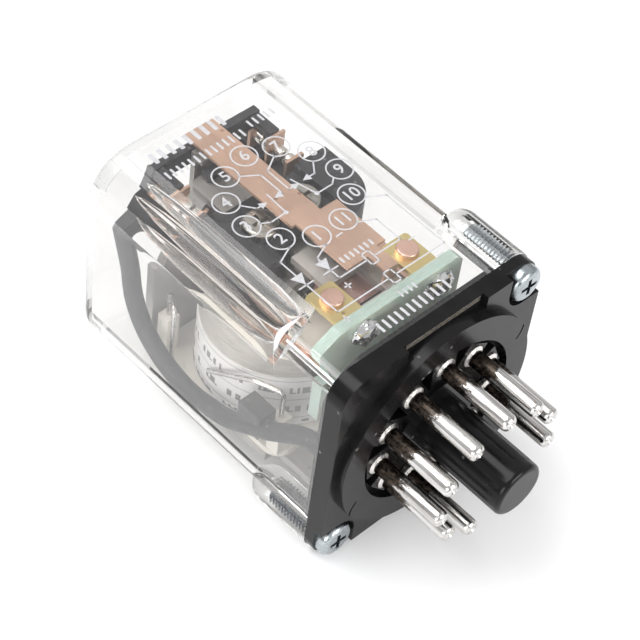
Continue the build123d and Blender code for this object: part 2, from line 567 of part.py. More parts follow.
with BuildPart() as spring_strap:
    slab(STRAP_TONGUE_X, (-STRAP_TONGUE_HALF, STRAP_TONGUE_HALF), STRAP_Z)
    slab((STRAP_TONGUE_X[1], STRAP_PLATE_END), STRAP_PLATE_Y, STRAP_Z)
    slab((STRAP_PLATE_END, STRAP_NECK_END), STRAP_NECK_Y, STRAP_Z)
    slab((STRAP_NECK_END, STRAP_END), STRAP_LUG_Y, STRAP_Z)
    slab((STRAP_END - STRAP_Z[1] + STRAP_Z[0], STRAP_END), STRAP_LUG_Y,
         (RESET_YOKE_Z[1], STRAP_Z[0]))
finish(spring_strap, "spring_strap")

# ============================================================================================
# Reset magnet: the small coil with its axis along X, and the latch lever it releases
# ============================================================================================
with BuildPart() as reset_bobbin:
    for x in ((RESET_X[0] - RESET_BOBBIN_FLANGE, RESET_X[0]),
              (RESET_X[1], RESET_X[1] + RESET_BOBBIN_FLANGE)):
        slab(x, (-RESET_FLANGE, RESET_FLANGE), (RESET_Z - RESET_FLANGE, RESET_Z + RESET_FLANGE))
    rod_x(RESET_X, 0, RESET_Z, RESET_TUBE_R)
    rod_x((RESET_X[0] - BORE_OVERRUN, RESET_X[1] + BORE_OVERRUN), 0, RESET_Z, RESET_CORE_R,
          mode=Mode.SUBTRACT)
finish(reset_bobbin, "reset_bobbin")

with BuildPart() as reset_winding:
    rod_x(RESET_X, 0, RESET_Z, RESET_R)
    rod_x(RESET_X, 0, RESET_Z, RESET_TUBE_R, mode=Mode.SUBTRACT)
finish(reset_winding, "reset_winding")

with BuildPart() as reset_yoke:
    slab((RESET_YOKE_START, RESET_PLATE_END), (-RESET_YOKE_Y, RESET_YOKE_Y), RESET_YOKE_Z)
    slab((RESET_PLATE_END, RESET_LEG[1]), (RESET_BRIDGE_Y, RESET_YOKE_Y), RESET_YOKE_Z)
    slab(RESET_LEG, (-RESET_YOKE_Y, RESET_YOKE_Y), (RESET_LEG_FOOT, RESET_YOKE_Z[1]))
    fillet(reset_yoke.edges().filter_by(Axis.Y).group_by(Axis.X)[-1].sort_by(Axis.Z)[-1],
           RESET_BEND_R)
    rod_x((RESET_LEG[0] - CUT_OVERRUN, RESET_LEG[1] + CUT_OVERRUN), 0, RESET_Z, RESET_CORE_R,
          mode=Mode.SUBTRACT)
finish(reset_yoke, "reset_yoke")

with BuildPart() as reset_core:
    rod_x((RESET_CORE_START, RESET_LEG[1]), 0, RESET_Z, RESET_CORE_R)
finish(reset_core, "reset_core")

with BuildPart() as latch_lever:
    slab((LEVER_X[0], LEVER_NECK), (-LEVER_HALF, LEVER_HALF), LEVER_Z)
    slab((LEVER_NECK, LEVER_X[1]), (-LEVER_NECK_HALF, LEVER_NECK_HALF), LEVER_Z)
    slab((LEVER_X[1] - LEVER_FLAP_T, LEVER_X[1]), (-LEVER_NECK_HALF, LEVER_NECK_HALF),
         (LEVER_FLAP_Z, LEVER_Z[1]))
    corners = latch_lever.edges().filter_by(Axis.Z).group_by(Axis.X)[0]
    fillet(corners, LEVER_R)
finish(latch_lever, "latch_lever")

with BuildPart() as latch_roller:
    with Locations((LEVER_X[0] + ROLLER_INSET, 0, LEVER_Z[1] + ROLLER_R)):
        Cylinder(ROLLER_R, ROLLER_L, rotation=(90, 0, 0))
    fillet(latch_roller.edges().filter_by(GeomType.CIRCLE), ROLLER_EDGE_R)
finish(latch_roller, "latch_roller")

# ============================================================================================
# Circuit board, its tabs and solder, and the strips that run from the contacts to it
# ============================================================================================
with BuildPart() as circuit_board:
    with BuildSketch(Plane.YZ.offset(BOARD_X[0])):
        with BuildLine():
            Polyline(*BOARD_OUTLINE, close=True)
        make_face()
    extrude(amount=BOARD_X[1] - BOARD_X[0])
    for side in (1, -1):
        slab(BOARD_X, mirrored((TAB_Y - TONGUE_W / 2, TAB_Y + TONGUE_W / 2), side), TAB_Z,
             mode=Mode.SUBTRACT)
finish(circuit_board, "circuit_board")

with BuildPart() as board_tabs:
    for side in (1, -1):
        slab((TAB_X[0], BOARD_X[0]), mirrored((TAB_Y - TAB_W / 2, TAB_Y + TAB_W / 2), side), TAB_Z)
        slab((BOARD_X[0], TAB_X[1]), mirrored((TAB_Y - TONGUE_W / 2, TAB_Y + TONGUE_W / 2), side),
             TAB_Z)
        rod_z(RIVET_X, side * TAB_Y, TAB_Z, RIVET_HOLE_R, mode=Mode.SUBTRACT)
    fillet(board_tabs.edges().filter_by(Axis.Z).group_by(Axis.X)[0], TAB_EDGE_R)
finish(board_tabs, "board_tabs")

with BuildPart() as tab_rivets:
    for side in (1, -1):
        rod_z(RIVET_X, side * TAB_Y, (TAB_Z[0] - RIVET_TAIL_H, TAB_Z[1] + RIVET_HEAD_H),
              RIVET_HOLE_R)
        rod_z(RIVET_X, side * TAB_Y, (TAB_Z[1], TAB_Z[1] + RIVET_HEAD_H), RIVET_R)
    fillet(tab_rivets.faces().filter_by(Plane.XY).group_by(Axis.Z)[-1].edges(), RIVET_EDGE_R)
    for side in (1, -1):
        rod_z(RIVET_X, side * TAB_Y, (TAB_Z[0] - RIVET_TAIL_H, TAB_Z[0]), RIVET_TAIL_R)
finish(tab_rivets, "tab_rivets")

with BuildPart() as board_solder:
    for side in (1, -1):
        with Locations((BOARD_X[1], side * TAB_Y, TAB_Z[0] - SOLDER_DROP)):
            Sphere(SOLDER_R, rotation=(0, 90, 0))
    split(bisect_by=Plane.YZ.offset(BOARD_X[1]), keep=Keep.TOP)
    for side in (1, -1):
        slab((BOARD_X[1], 0), mirrored((TAB_Y - TONGUE_W / 2, TAB_Y + TONGUE_W / 2), side),
             (TAB_Z[0], TAB_Z[0] + 2 * SOLDER_R), mode=Mode.SUBTRACT)
finish(board_solder, "board_solder")

with BuildPart() as diodes:
    for y in DIODE_Y:
        with Locations((BOARD_X[0] - DIODE_R - DIODE_GAP, y, DIODE_Z)):
            Cylinder(DIODE_R, DIODE_L, rotation=(90, 0, 0))
finish(diodes, "diodes")

with BuildPart() as contact_strips:
    for side in (1, -1):
        slab((STRIP_START, BOARD_X[0]), mirrored(STRIP_Y, side), STRIP_Z)
        slab((BOARD_X[0] - STRIP_TURN_T, BOARD_X[0]), mirrored(STRIP_Y, side),
             (STRIP_Z[1], STRIP_TURN_TOP))
finish(contact_strips, "contact_strips")

with BuildPart() as strip_rivets:
    for side in (1, -1):
        for x in STRIP_RIVETS:
            rod_z(x, side * sum(STRIP_Y) / 2, (STRIP_Z[1], STRIP_Z[1] + STRIP_RIVET_H),
                  STRIP_RIVET_R)
    fillet(strip_rivets.faces().filter_by(Plane.XY).group_by(Axis.Z)[-1].edges(),
           STRIP_RIVET_EDGE_R)
finish(strip_rivets, "strip_rivets")

# ============================================================================================
# Insulated lead along the -Y wall, its clip, and the bare ends of the coil
# ============================================================================================
with BuildPart() as lead_wire:
    with BuildLine() as route:
        FilletPolyline(*LEAD_POINTS, radius=LEAD_RADII)
    with BuildSketch(Plane(origin=route.line @ 0, z_dir=route.line % 0)):
        Circle(LEAD_D / 2)
    sweep()
lead_length = sum(edge.length for edge in route.line.edges())
lead_section = math.pi * LEAD_D ** 2 / 4
print("lead length", round(lead_length, 1), "bend radii", LEAD_RADII,
      "volume ratio", round(lead_wire.part.volume / (lead_section * lead_length), 4))
finish(lead_wire, "lead_wire")

with BuildPart() as lead_clip:
    slab(CLIP_X, CLIP_Y, CLIP_Z)
    add(lead_wire.part, mode=Mode.SUBTRACT)
finish(lead_clip, "lead_clip")

for name, points in TERMINAL_WIRES.items():
    with BuildPart() as terminal:
        with BuildLine() as bare:
            FilletPolyline(*points, radius=TERMINAL_BEND)
        with BuildSketch(Plane(origin=bare.line @ 0, z_dir=bare.line % 0)):
            Circle(TERMINAL_R)
        sweep()
    finish(terminal, name)
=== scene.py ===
"""Looks of an eleven-pin plug-in latching relay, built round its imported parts.

Lengths are given in millimetres and turned into metres when a mesh is finished. +X is the way
the pins point, +Z is the printed side of the clear case and -Y is the side of the large coil.
"""

import logging
import math
import random
from dataclasses import dataclass, field
from enum import Enum
from typing import Callable, Iterable, Optional, Sequence

import bmesh
import bpy
from mathutils import Matrix, Vector, noise


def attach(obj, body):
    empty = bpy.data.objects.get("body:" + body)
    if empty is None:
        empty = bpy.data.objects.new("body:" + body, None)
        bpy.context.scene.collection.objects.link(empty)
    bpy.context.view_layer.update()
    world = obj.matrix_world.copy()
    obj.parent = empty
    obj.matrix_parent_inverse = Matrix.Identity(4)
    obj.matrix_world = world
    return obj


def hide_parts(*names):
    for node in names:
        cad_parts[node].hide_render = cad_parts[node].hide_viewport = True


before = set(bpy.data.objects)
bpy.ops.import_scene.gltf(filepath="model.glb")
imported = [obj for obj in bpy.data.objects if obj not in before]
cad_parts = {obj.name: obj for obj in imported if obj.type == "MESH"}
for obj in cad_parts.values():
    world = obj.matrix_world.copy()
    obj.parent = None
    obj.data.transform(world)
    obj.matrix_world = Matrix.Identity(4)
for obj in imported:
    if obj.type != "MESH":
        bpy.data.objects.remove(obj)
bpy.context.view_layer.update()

LOG = logging.getLogger("relay")
MM = 0.001
SHARP_ANGLE = math.radians(35)
# sides in Y and Z of the two long edges that end in a nearly square skirt corner
SKIRT_CORNERS = ((-1, 1), (1, -1))

Colour = tuple[float, float, float]
Point = tuple[float, float, float]
Flat = tuple[float, float]
Limits = tuple[float, float]
Socket = bpy.types.NodeSocket


# ---- node trees -----------------------------------------------------------------------------
@dataclass
class Graph:
    """Short-hand for adding nodes to one tree and joining them."""

    tree: bpy.types.NodeTree

    def node(self, kind: str, values: Optional[dict] = None, **settings) -> bpy.types.Node:
        """Add a node.

        Args:
            kind: The node's type name.
            values: Input sockets by name or number, each given a value or a socket to join.
            **settings: Properties of the node itself.

        Returns:
            The new node.
        """
        made = self.tree.nodes.new(kind)
        for name, value in settings.items():
            setattr(made, name, value)
        for name, value in (values or {}).items():
            self.feed(value, made.inputs[name])
        return made

    def feed(self, value, socket: Socket) -> None:
        """Join a socket, or set a plain value.

        Args:
            value: An output socket, a number, a colour or a vector.
            socket: The input that takes it.
        """
        if isinstance(value, Socket):
            self.tree.links.new(value, socket)
        elif isinstance(value, (int, float)):
            socket.default_value = value
        elif len(value) == 3 and socket.type == "RGBA":
            socket.default_value = (*value, 1.0)
        else:
            socket.default_value = value

    def place(self) -> Socket:
        """The point on the piece, in object coordinates."""
        return self.node("ShaderNodeTexCoord").outputs["Object"]

    def stretch(self, vector: Socket, scale: Point) -> Socket:
        """Scale a vector by one factor along each axis."""
        return self.node("ShaderNodeMapping", {"Vector": vector, "Scale": scale}).outputs[0]

    def noise(self, vector: Socket, size: float, detail: float = 3.0,
              rough: float = 0.55) -> Socket:
        """Noise of 0 to 1, with lumps of a size in millimetres and finer layers."""
        values = {"Vector": vector, "Scale": 1 / (size * MM), "Detail": detail, "Roughness": rough}
        return self.node("ShaderNodeTexNoise", values).outputs["Fac"]

    def steps(self, value: Socket, low: float, high: float, start: float = 0.0,
              end: float = 1.0) -> Socket:
        """Turn values from low to high into start to end, held at both ends."""
        made = self.node("ShaderNodeMapRange", {"Value": value, "From Min": low, "From Max": high,
                                                "To Min": start, "To Max": end})
        return made.outputs["Result"]

    def colours(self, factor, first, second) -> Socket:
        """Mix two colours.

        Args:
            factor: Share of the second colour.
            first: Colour or socket.
            second: Colour or socket.

        Returns:
            The mixed colour.
        """
        made = self.node("ShaderNodeMix", data_type="RGBA")
        self.feed(factor, made.inputs[0])
        self.feed(first, made.inputs[6])
        self.feed(second, made.inputs[7])
        return made.outputs[2]

    def sum(self, operation: str, first, second=0.0) -> Socket:
        """Result of the named Math operation on two values or sockets."""
        made = self.node("ShaderNodeMath", {0: first, 1: second}, operation=operation)
        return made.outputs[0]

    def principled(self, values: dict) -> Socket:
        """Principled shader with the given inputs."""
        return self.node("ShaderNodeBsdfPrincipled", values).outputs[0]

    def thinned(self, share, shader: Socket, tint: Colour) -> Socket:
        """Let a share of the light run straight on through a shader, tinted."""
        through = self.node("ShaderNodeBsdfTransparent", {"Color": tint}).outputs[0]
        return self.node("ShaderNodeMixShader", {0: share, 1: shader, 2: through}).outputs[0]

    def axes(self, vector: Socket) -> list[Socket]:
        """The three parts of a vector."""
        return list(self.node("ShaderNodeSeparateXYZ", {0: vector}).outputs)

    def bump(self, height: Socket, depth: float,
             strength: float = 1.0) -> Socket:
        """Normal from a height of 0 to 1, where 1 stands for a depth in millimetres."""
        return self.node("ShaderNodeBump", {"Height": height, "Distance": depth * MM,
                                            "Strength": strength}).outputs[0]


def effect(name: str, inputs: Sequence[tuple[str, str, object]],
           outputs: Sequence[tuple[str, str]], build: Callable) -> bpy.types.NodeTree:
    """Make a node group that several finishes share.

    Args:
        name: Name of the group.
        inputs: Name, socket type and starting value of each input.
        outputs: Name and socket type of each output.
        build: Function of the group's Graph and its input sockets that returns the results.

    Returns:
        The group.
    """
    group = bpy.data.node_groups.new(name, "ShaderNodeTree")
    for title, kind, value in inputs:
        socket = group.interface.new_socket(title, in_out="INPUT", socket_type=kind)
        if value is not None:
            socket.default_value = value
    for title, kind in outputs:
        group.interface.new_socket(title, in_out="OUTPUT", socket_type=kind)
    graph = Graph(group)
    source = graph.node("NodeGroupInput")
    sink = graph.node("NodeGroupOutput")
    for result, (title, _) in zip(build(graph, source.outputs), outputs):
        graph.feed(result, sink.inputs[title])
    return group


FLOAT, VECTOR = "NodeSocketFloat", "NodeSocketVector"


@dataclass
class Effects:
    """Effects that more than one finish uses."""

    grain: bpy.types.NodeTree = field(init=False)
    specks: bpy.types.NodeTree = field(init=False)
    brushing: bpy.types.NodeTree = field(init=False)
    turns: bpy.types.NodeTree = field(init=False)

    def __post_init__(self) -> None:
        """Build the groups."""
        self.grain = effect(
            "surface_grain", [("Place", VECTOR, None), ("Size", FLOAT, 0.3)],
            [("Fine", FLOAT), ("Broad", FLOAT)], self._grain)
        self.specks = effect(
            "specks", [("Place", VECTOR, None), ("Size", FLOAT, 0.5), ("Share", FLOAT, 0.1)],
            [("Mask", FLOAT)], self._specks)
        self.brushing = effect(
            "brushing", [("Place", VECTOR, None), ("Size", FLOAT, 0.1)],
            [("Streaks", FLOAT)], self._brushing)
        self.turns = effect(
            "wire_turns", [("Along", FLOAT, 0.0), ("Pitch", FLOAT, 0.2)],
            [("Round", FLOAT)], self._turns)

    @staticmethod
    def _per_mm(graph: Graph, size: Socket) -> Socket:
        """Texture scale for lumps of a size in millimetres."""
        return graph.sum("DIVIDE", 1 / MM, size)

    def _grain(self, graph: Graph, given) -> list:
        """Fine moulding grain and broad unevenness."""
        scale = self._per_mm(graph, given["Size"])
        fine = graph.node("ShaderNodeTexNoise", {"Vector": given["Place"], "Scale": scale,
                                                 "Detail": 4.0, "Roughness": 0.6})
        broad = graph.node("ShaderNodeTexNoise", {
            "Vector": given["Place"], "Scale": graph.sum("MULTIPLY", scale, 0.07),
            "Detail": 2.0})
        return [fine.outputs["Fac"], broad.outputs["Fac"]]

    def _specks(self, graph: Graph, given) -> list:
        """Sparse small spots such as dust or stains."""
        scale = self._per_mm(graph, given["Size"])
        cells = graph.node("ShaderNodeTexVoronoi", {"Vector": given["Place"], "Scale": scale})
        chance = graph.node("ShaderNodeSeparateXYZ", {0: cells.outputs["Color"]}).outputs[0]
        chosen = graph.sum("LESS_THAN", chance, given["Share"])
        near = graph.steps(cells.outputs["Distance"], 0.12, 0.34, 1.0, 0.0)
        return [graph.sum("MULTIPLY", chosen, near)]

    def _brushing(self, graph: Graph, given) -> list:
        """Fine streaks along X, as rolling and drawing leave on metal."""
        scale = self._per_mm(graph, given["Size"])
        long = graph.stretch(given["Place"], (0.03, 1.0, 1.0))
        streaks = graph.node("ShaderNodeTexNoise", {"Vector": long, "Scale": scale,
                                                    "Detail": 3.0, "Roughness": 0.65})
        return [streaks.outputs["Fac"]]

    def _turns(self, graph: Graph, given) -> list:
        """Rounded tops of wires that lie side by side."""
        count = graph.sum("DIVIDE", given["Along"], given["Pitch"])
        wave = graph.sum("SINE", graph.sum("MULTIPLY", count, math.tau))
        return [graph.steps(wave, -1.0, 1.0)]


def placed(graph: Graph, group: bpy.types.NodeTree, **values) -> bpy.types.Node:
    """Place a shared effect in a tree.

    Args:
        graph: The tree.
        group: The effect.
        **values: Its inputs, by name.

    Returns:
        The group node.
    """
    made = graph.node("ShaderNodeGroup", node_tree=group)
    for name, value in values.items():
        graph.feed(value, made.inputs[name])
    return made


# ---- finishes -------------------------------------------------------------------------------
@dataclass(frozen=True)
class Finish:
    """A named material; each kind of finish draws its own surface."""

    name: str

    def surface(self, graph: Graph, place: Socket, effects: Effects) -> Socket:
        """Shader of the surface, drawn by each kind of finish."""
        raise NotImplementedError

    def build(self, effects: Effects) -> bpy.types.Material:
        """Build the material.

        Args:
            effects: The shared effects that its surface may use.

        Returns:
            The material.
        """
        material = bpy.data.materials.new(self.name)
        material.use_nodes = True
        material.node_tree.nodes.clear()
        graph = Graph(material.node_tree)
        output = graph.node("ShaderNodeOutputMaterial")
        graph.feed(self.surface(graph, graph.place(), effects), output.inputs["Surface"])
        return material


@dataclass(frozen=True)
class Moulded(Finish):
    """Moulded plastic with fine grain, broad unevenness and a little dust."""

    colour: Colour
    light: Colour
    roughness: float = 0.35
    grain: float = 0.4
    depth: float = 0.01
    dust: float = 0.06
    shine: float = 0.5
    dust_size: float = 0.9
    dust_cover: float = 0.35
    dust_colour: Colour = (0.34, 0.33, 0.32)

    def surface(self, graph: Graph, place: Socket, effects: Effects) -> Socket:
        """Shader, built from its shared effects."""
        grain = placed(graph, effects.grain, Place=place, Size=self.grain)
        dust = placed(graph, effects.specks, Place=place, Size=self.dust_size,
                      Share=self.dust)
        base = graph.colours(graph.steps(grain.outputs["Broad"], 0.3, 0.7), self.colour,
                             self.light)
        dusty = graph.colours(graph.sum("MULTIPLY", dust.outputs["Mask"], self.dust_cover), base,
                              self.dust_colour)
        rough = graph.steps(grain.outputs["Broad"], 0.25, 0.75, self.roughness - 0.06,
                            self.roughness + 0.08)
        return graph.principled({
            "Base Color": dusty, "Roughness": rough, "Specular IOR Level": self.shine,
            "Normal": graph.bump(grain.outputs["Fine"], self.depth)})


@dataclass(frozen=True)
class Metal(Finish):
    """Metal with drawn or rolled streaks, uneven tone and small stains."""

    colour: Colour
    dull: Colour
    roughness: float = 0.3
    streak: float = 0.12
    stain: float = 0.05
    stain_colour: Colour = (0.12, 0.07, 0.05)
    metallic: float = 1.0
    depth: float = 0.004
    stain_size: float = 1.1
    stain_cover: float = 0.55

    def surface(self, graph: Graph, place: Socket, effects: Effects) -> Socket:
        """Shader, built from its shared effects."""
        grain = placed(graph, effects.grain, Place=place, Size=0.5)
        streaks = placed(graph, effects.brushing, Place=place, Size=self.streak)
        stains = placed(graph, effects.specks, Place=place, Size=self.stain_size,
                        Share=self.stain)
        tone = graph.sum("MULTIPLY", streaks.outputs["Streaks"], grain.outputs["Broad"])
        base = graph.colours(graph.steps(tone, 0.12, 0.42), self.dull, self.colour)
        spotted = graph.colours(graph.sum("MULTIPLY", stains.outputs["Mask"], self.stain_cover),
                                base, self.stain_colour)
        rough = graph.steps(streaks.outputs["Streaks"], 0.3, 0.7, self.roughness - 0.07,
                            self.roughness + 0.1)
        return graph.principled({
            "Base Color": spotted, "Roughness": rough, "Metallic": self.metallic,
            "Normal": graph.bump(streaks.outputs["Streaks"], self.depth)})


@dataclass(frozen=True)
class ClearPlastic(Finish):
    """Clear moulded plastic that lets the lamps light what is inside."""

    name: str = "clear_plastic"
    tint: Colour = (0.985, 0.982, 0.975)
    shade: Colour = (0.95, 0.948, 0.942)
    ior: float = 1.5
    haze: float = 0.012
    bounces: float = 4.5

    def surface(self, graph: Graph, place: Socket, effects: Effects) -> Socket:
        """Shader, built from its shared effects."""
        grain = placed(graph, effects.grain, Place=place, Size=6.0)
        rough = graph.steps(grain.outputs["Fine"], 0.3, 0.8, 0.0, self.haze)
        glass = graph.principled({"Base Color": self.tint, "Roughness": rough,
                                  "Transmission Weight": 1.0, "IOR": self.ior})
        light = graph.node("ShaderNodeLightPath")
        # light that runs on inside the walls is let out straight, so the rim stays pale
        trapped = graph.sum("GREATER_THAN", light.outputs["Ray Depth"], self.bounces)
        straight = graph.sum("MAXIMUM", light.outputs["Is Shadow Ray"], trapped)
        return graph.thinned(straight, glass, self.shade)


@dataclass(frozen=True)
class Frosted(Finish):
    """Clear plastic left rough by the mould, at ramps and corners; a whiter copy also draws the
    painted highlight lines along the skirt corners.
    """

    name: str = "frosted_plastic"
    tint: Colour = (0.9, 0.9, 0.9)
    roughness: float = 0.3
    clear: float = 1.0
    ior: float = 1.45
    depth: float = 0.02

    def surface(self, graph: Graph, place: Socket, effects: Effects) -> Socket:
        """Shader, built from its shared effects."""
        grain = placed(graph, effects.grain, Place=place, Size=0.35)
        rough = graph.steps(grain.outputs["Fine"], 0.3, 0.7, self.roughness - 0.1,
                            self.roughness + 0.15)
        glass = graph.principled({
            "Base Color": self.tint, "Roughness": rough, "Transmission Weight": self.clear,
            "IOR": self.ior, "Normal": graph.bump(grain.outputs["Fine"], self.depth)})
        lamp = graph.node("ShaderNodeLightPath").outputs["Is Shadow Ray"]
        return graph.thinned(lamp, glass, self.tint)


@dataclass(frozen=True)
class PlatedPin(Finish):
    """Soldered pins: bright over the outer length, tarnished near the base."""

    name: str = "plated_pin"
    bright: Colour = (0.74, 0.73, 0.71)
    shadow: Colour = (0.42, 0.4, 0.38)
    tarnish: Colour = (0.05, 0.042, 0.036)
    brown: Colour = (0.15, 0.115, 0.09)
    spot: Colour = (0.42, 0.26, 0.16)
    collar: Colour = (0.74, 0.72, 0.69)
    tide: float = 3.9
    wave: float = 2.4

    def surface(self, graph: Graph, place: Socket, effects: Effects) -> Socket:
        """Shader; the solder's edge wanders along the pin."""
        along = graph.sum("DIVIDE", graph.axes(place)[0], MM)
        wander = graph.noise(graph.stretch(place, (0.5, 1.0, 1.0)), 1.1, 3.0, 0.65)
        edge = graph.sum("ADD", along, graph.steps(wander, 0.2, 0.8, -self.wave, self.wave))
        dipped = graph.steps(edge, self.tide - 0.35, self.tide + 0.45)
        streaks = placed(graph, effects.brushing, Place=place, Size=0.3)
        mottle = graph.noise(place, 0.5, 4.0, 0.7)
        old = graph.colours(graph.steps(mottle, 0.42, 0.7), self.tarnish, self.brown)
        solder = graph.colours(graph.steps(streaks.outputs["Streaks"], 0.34, 0.6), self.shadow,
                               self.bright)
        spots = placed(graph, effects.specks, Place=place, Size=0.9, Share=0.1)
        spotted = graph.colours(graph.sum("MULTIPLY", spots.outputs["Mask"], 0.5), solder,
                                self.spot)
        pin = graph.colours(dipped, old, spotted)
        base = graph.colours(graph.steps(along, 0.02, 0.16), self.collar, pin)
        worn = graph.steps(mottle, 0.3, 0.7, 0.16, 0.4)
        smooth = graph.steps(streaks.outputs["Streaks"], 0.3, 0.7, 0.1, 0.26)
        rough = graph.node("ShaderNodeMix", {0: dipped, 2: worn, 3: smooth}).outputs[0]
        height = graph.sum("ADD", graph.sum("MULTIPLY", streaks.outputs["Streaks"], 0.8),
                           graph.sum("MULTIPLY", dipped, 0.35))
        return graph.principled({
            "Base Color": base, "Roughness": rough, "Metallic": 1.0,
            "Normal": graph.bump(height, 0.045)})


@dataclass(frozen=True)
class Laminate(Finish):
    """Pale green board whose cut edges show glass fibre, coloured darker than the faces as painted
    shade that holds back the strong light on the top edge.
    """

    name: str = "board_green"
    face: Colour = (0.76, 0.87, 0.74)
    deep: Colour = (0.62, 0.75, 0.63)
    # colours of the cut edges, glass fibre held darker than the faces as painted shade against the
    # strong top light
    edge: Colour = (0.42, 0.5, 0.46)
    fibre: Colour = (0.3, 0.4, 0.34)

    def surface(self, graph: Graph, place: Socket, effects: Effects) -> Socket:
        """Shader; the faces that look along X are the coated ones."""
        normal = graph.node("ShaderNodeNewGeometry").outputs["Normal"]
        facing = graph.sum("ABSOLUTE", graph.axes(normal)[0])
        fibre = graph.noise(graph.stretch(place, (1.0, 0.12, 0.25)), 0.16, 4.0, 0.7)
        cloud = graph.noise(place, 2.5, 2.0)
        coated = graph.colours(graph.steps(cloud, 0.35, 0.7), self.face, self.deep)
        # the other faces take the cut-edge colours: real glass fibre, held dark as painted shade
        # for the top light
        cut_edge_and_shade = graph.colours(graph.steps(fibre, 0.35, 0.65), self.fibre, self.edge)
        base = graph.colours(graph.steps(facing, 0.5, 0.9), cut_edge_and_shade, coated)
        rough = graph.steps(facing, 0.5, 0.9, 0.6, 0.32)
        return graph.principled({
            "Base Color": base, "Roughness": rough, "Subsurface Weight": 0.12,
            "Subsurface Scale": 0.8 * MM, "Normal": graph.bump(fibre, 0.03, 0.6)})


class Axis(Enum):
    """Axis that a coil is wound round."""

    X = 0
    Y = 1
    Z = 2


@dataclass(frozen=True)
class Winding(Finish):
    """Enamelled copper wire wound round one axis."""

    axis: Axis
    colour: Colour = (0.36, 0.2, 0.17)
    # painted shade: colour of the valleys between turns, where shade falls
    valley_shade: Colour = (0.12, 0.06, 0.05)
    pitch: float = 0.16

    def surface(self, graph: Graph, place: Socket, effects: Effects) -> Socket:
        """Shader; each turn is a round ridge with its own tone, and the valleys between turns are
        darkened as painted shade.
        """
        along = graph.sum("DIVIDE", graph.axes(place)[self.axis.value], MM)
        drift = graph.sum("MULTIPLY", graph.noise(place, 4.0, 2.0), self.pitch * 1.5)
        turns = placed(graph, effects.turns, Along=graph.sum("ADD", along, drift),
                       Pitch=self.pitch)
        tone = graph.noise(graph.stretch(place, (2.0, 0.4, 0.4)), 0.6, 3.0)
        copper = graph.colours(graph.steps(tone, 0.3, 0.7), self.colour,
                               tuple(1.45 * c for c in self.colour))
        # darker down between the turns, as painted shade
        base = graph.colours(graph.steps(turns.outputs["Round"], 0.0, 0.45), self.valley_shade, copper)
        return graph.principled({
            "Base Color": base, "Roughness": graph.steps(tone, 0.3, 0.7, 0.28, 0.45),
            "Metallic": 0.55, "Coat Weight": 0.4, "Coat Roughness": 0.2,
            "Normal": graph.bump(turns.outputs["Round"], self.pitch * 0.35)})


@dataclass(frozen=True)
class Tape(Finish):
    """Warm grey tape wound over the coil, in overlapping bands."""

    name: str = "coil_tape"
    colour: Colour = (0.42, 0.385, 0.35)
    dark: Colour = (0.31, 0.285, 0.26)
    band: float = 5.2

    def surface(self, graph: Graph, place: Socket, effects: Effects) -> Socket:
        """Shader; the bands step along the coil's axis."""
        height = graph.sum("DIVIDE", graph.axes(place)[Axis.Z.value], MM)
        laps = graph.sum("FRACT", graph.sum("DIVIDE", height, self.band))
        edge = graph.steps(laps, 0.0, 0.05)
        crease = graph.noise(graph.stretch(place, (0.6, 0.6, 2.5)), 1.3, 4.0, 0.6)
        base = graph.colours(graph.steps(crease, 0.35, 0.65), self.dark, self.colour)
        lined = graph.colours(edge, self.dark, base)
        return graph.principled({
            "Base Color": lined, "Roughness": graph.steps(crease, 0.3, 0.7, 0.32, 0.5),
            "Coat Weight": 0.3, "Coat Roughness": 0.25,
            "Normal": graph.bump(graph.sum("ADD", crease, edge), 0.05, 0.7)})


@dataclass(frozen=True)
class Paper(Finish):
    """Pale paper label with ruled lines across its height."""

    name: str = "paper_label"
    colour: Colour = (0.71, 0.70, 0.69)
    shade: Colour = (0.62, 0.61, 0.6)
    rule: Colour = (0.16, 0.15, 0.15)
    heights: tuple[float, ...] = (-3.05, -6.7, -10.35)
    rule_width: float = 0.09

    def surface(self, graph: Graph, place: Socket, effects: Effects) -> Socket:
        """Shader; every rule is a thin line at its own height."""
        height = graph.sum("DIVIDE", graph.axes(place)[Axis.Z.value], MM)
        grain = placed(graph, effects.grain, Place=place, Size=0.15)
        paper = graph.colours(grain.outputs["Broad"], self.shade, self.colour)
        for line in self.heights:
            off = graph.sum("ABSOLUTE", graph.sum("SUBTRACT", height, line))
            ink = graph.steps(off, self.rule_width / 2, self.rule_width, 0.75, 0.0)
            paper = graph.colours(ink, paper, self.rule)
        return graph.principled({
            "Base Color": paper, "Roughness": graph.steps(grain.outputs["Fine"], 0.3, 0.7, 0.5,
                                                          0.7),
            "Normal": graph.bump(grain.outputs["Fine"], 0.01)})


@dataclass(frozen=True)
class Ink(Finish):
    """Printing ink, a little uneven in tone."""

    colour: Colour
    thin: Colour
    roughness: float = 0.45
    cover: float = 1.0

    def surface(self, graph: Graph, place: Socket, effects: Effects) -> Socket:
        """Shader, built from its shared effects."""
        grain = placed(graph, effects.grain, Place=place, Size=0.3)
        base = graph.colours(graph.steps(grain.outputs["Fine"], 0.35, 0.6), self.thin,
                             self.colour)
        rough = graph.steps(grain.outputs["Broad"], 0.3, 0.7, self.roughness - 0.05,
                            self.roughness + 0.1)
        return graph.principled({"Base Color": base, "Roughness": rough,
                                                         "Alpha": self.cover})


@dataclass(frozen=True)
class Stamped(Finish):
    """Olive-brown hot-stamped strip, speckled and half worn away."""

    name: str = "stamped_strip"
    worn: Colour = (0.05, 0.045, 0.04)
    foil: Colour = (0.17, 0.15, 0.12)

    def surface(self, graph: Graph, place: Socket, effects: Effects) -> Socket:
        """Shader, built from its own stretched noise."""
        grain = graph.noise(graph.stretch(place, (1.0, 0.7, 1.0)), 0.28, 4.0, 0.75)
        base = graph.colours(graph.steps(grain, 0.45, 0.62), self.worn, self.foil)
        return graph.principled({
            "Base Color": base, "Roughness": graph.steps(grain, 0.4, 0.65, 0.5, 0.3),
            "Normal": graph.bump(grain, 0.03)})


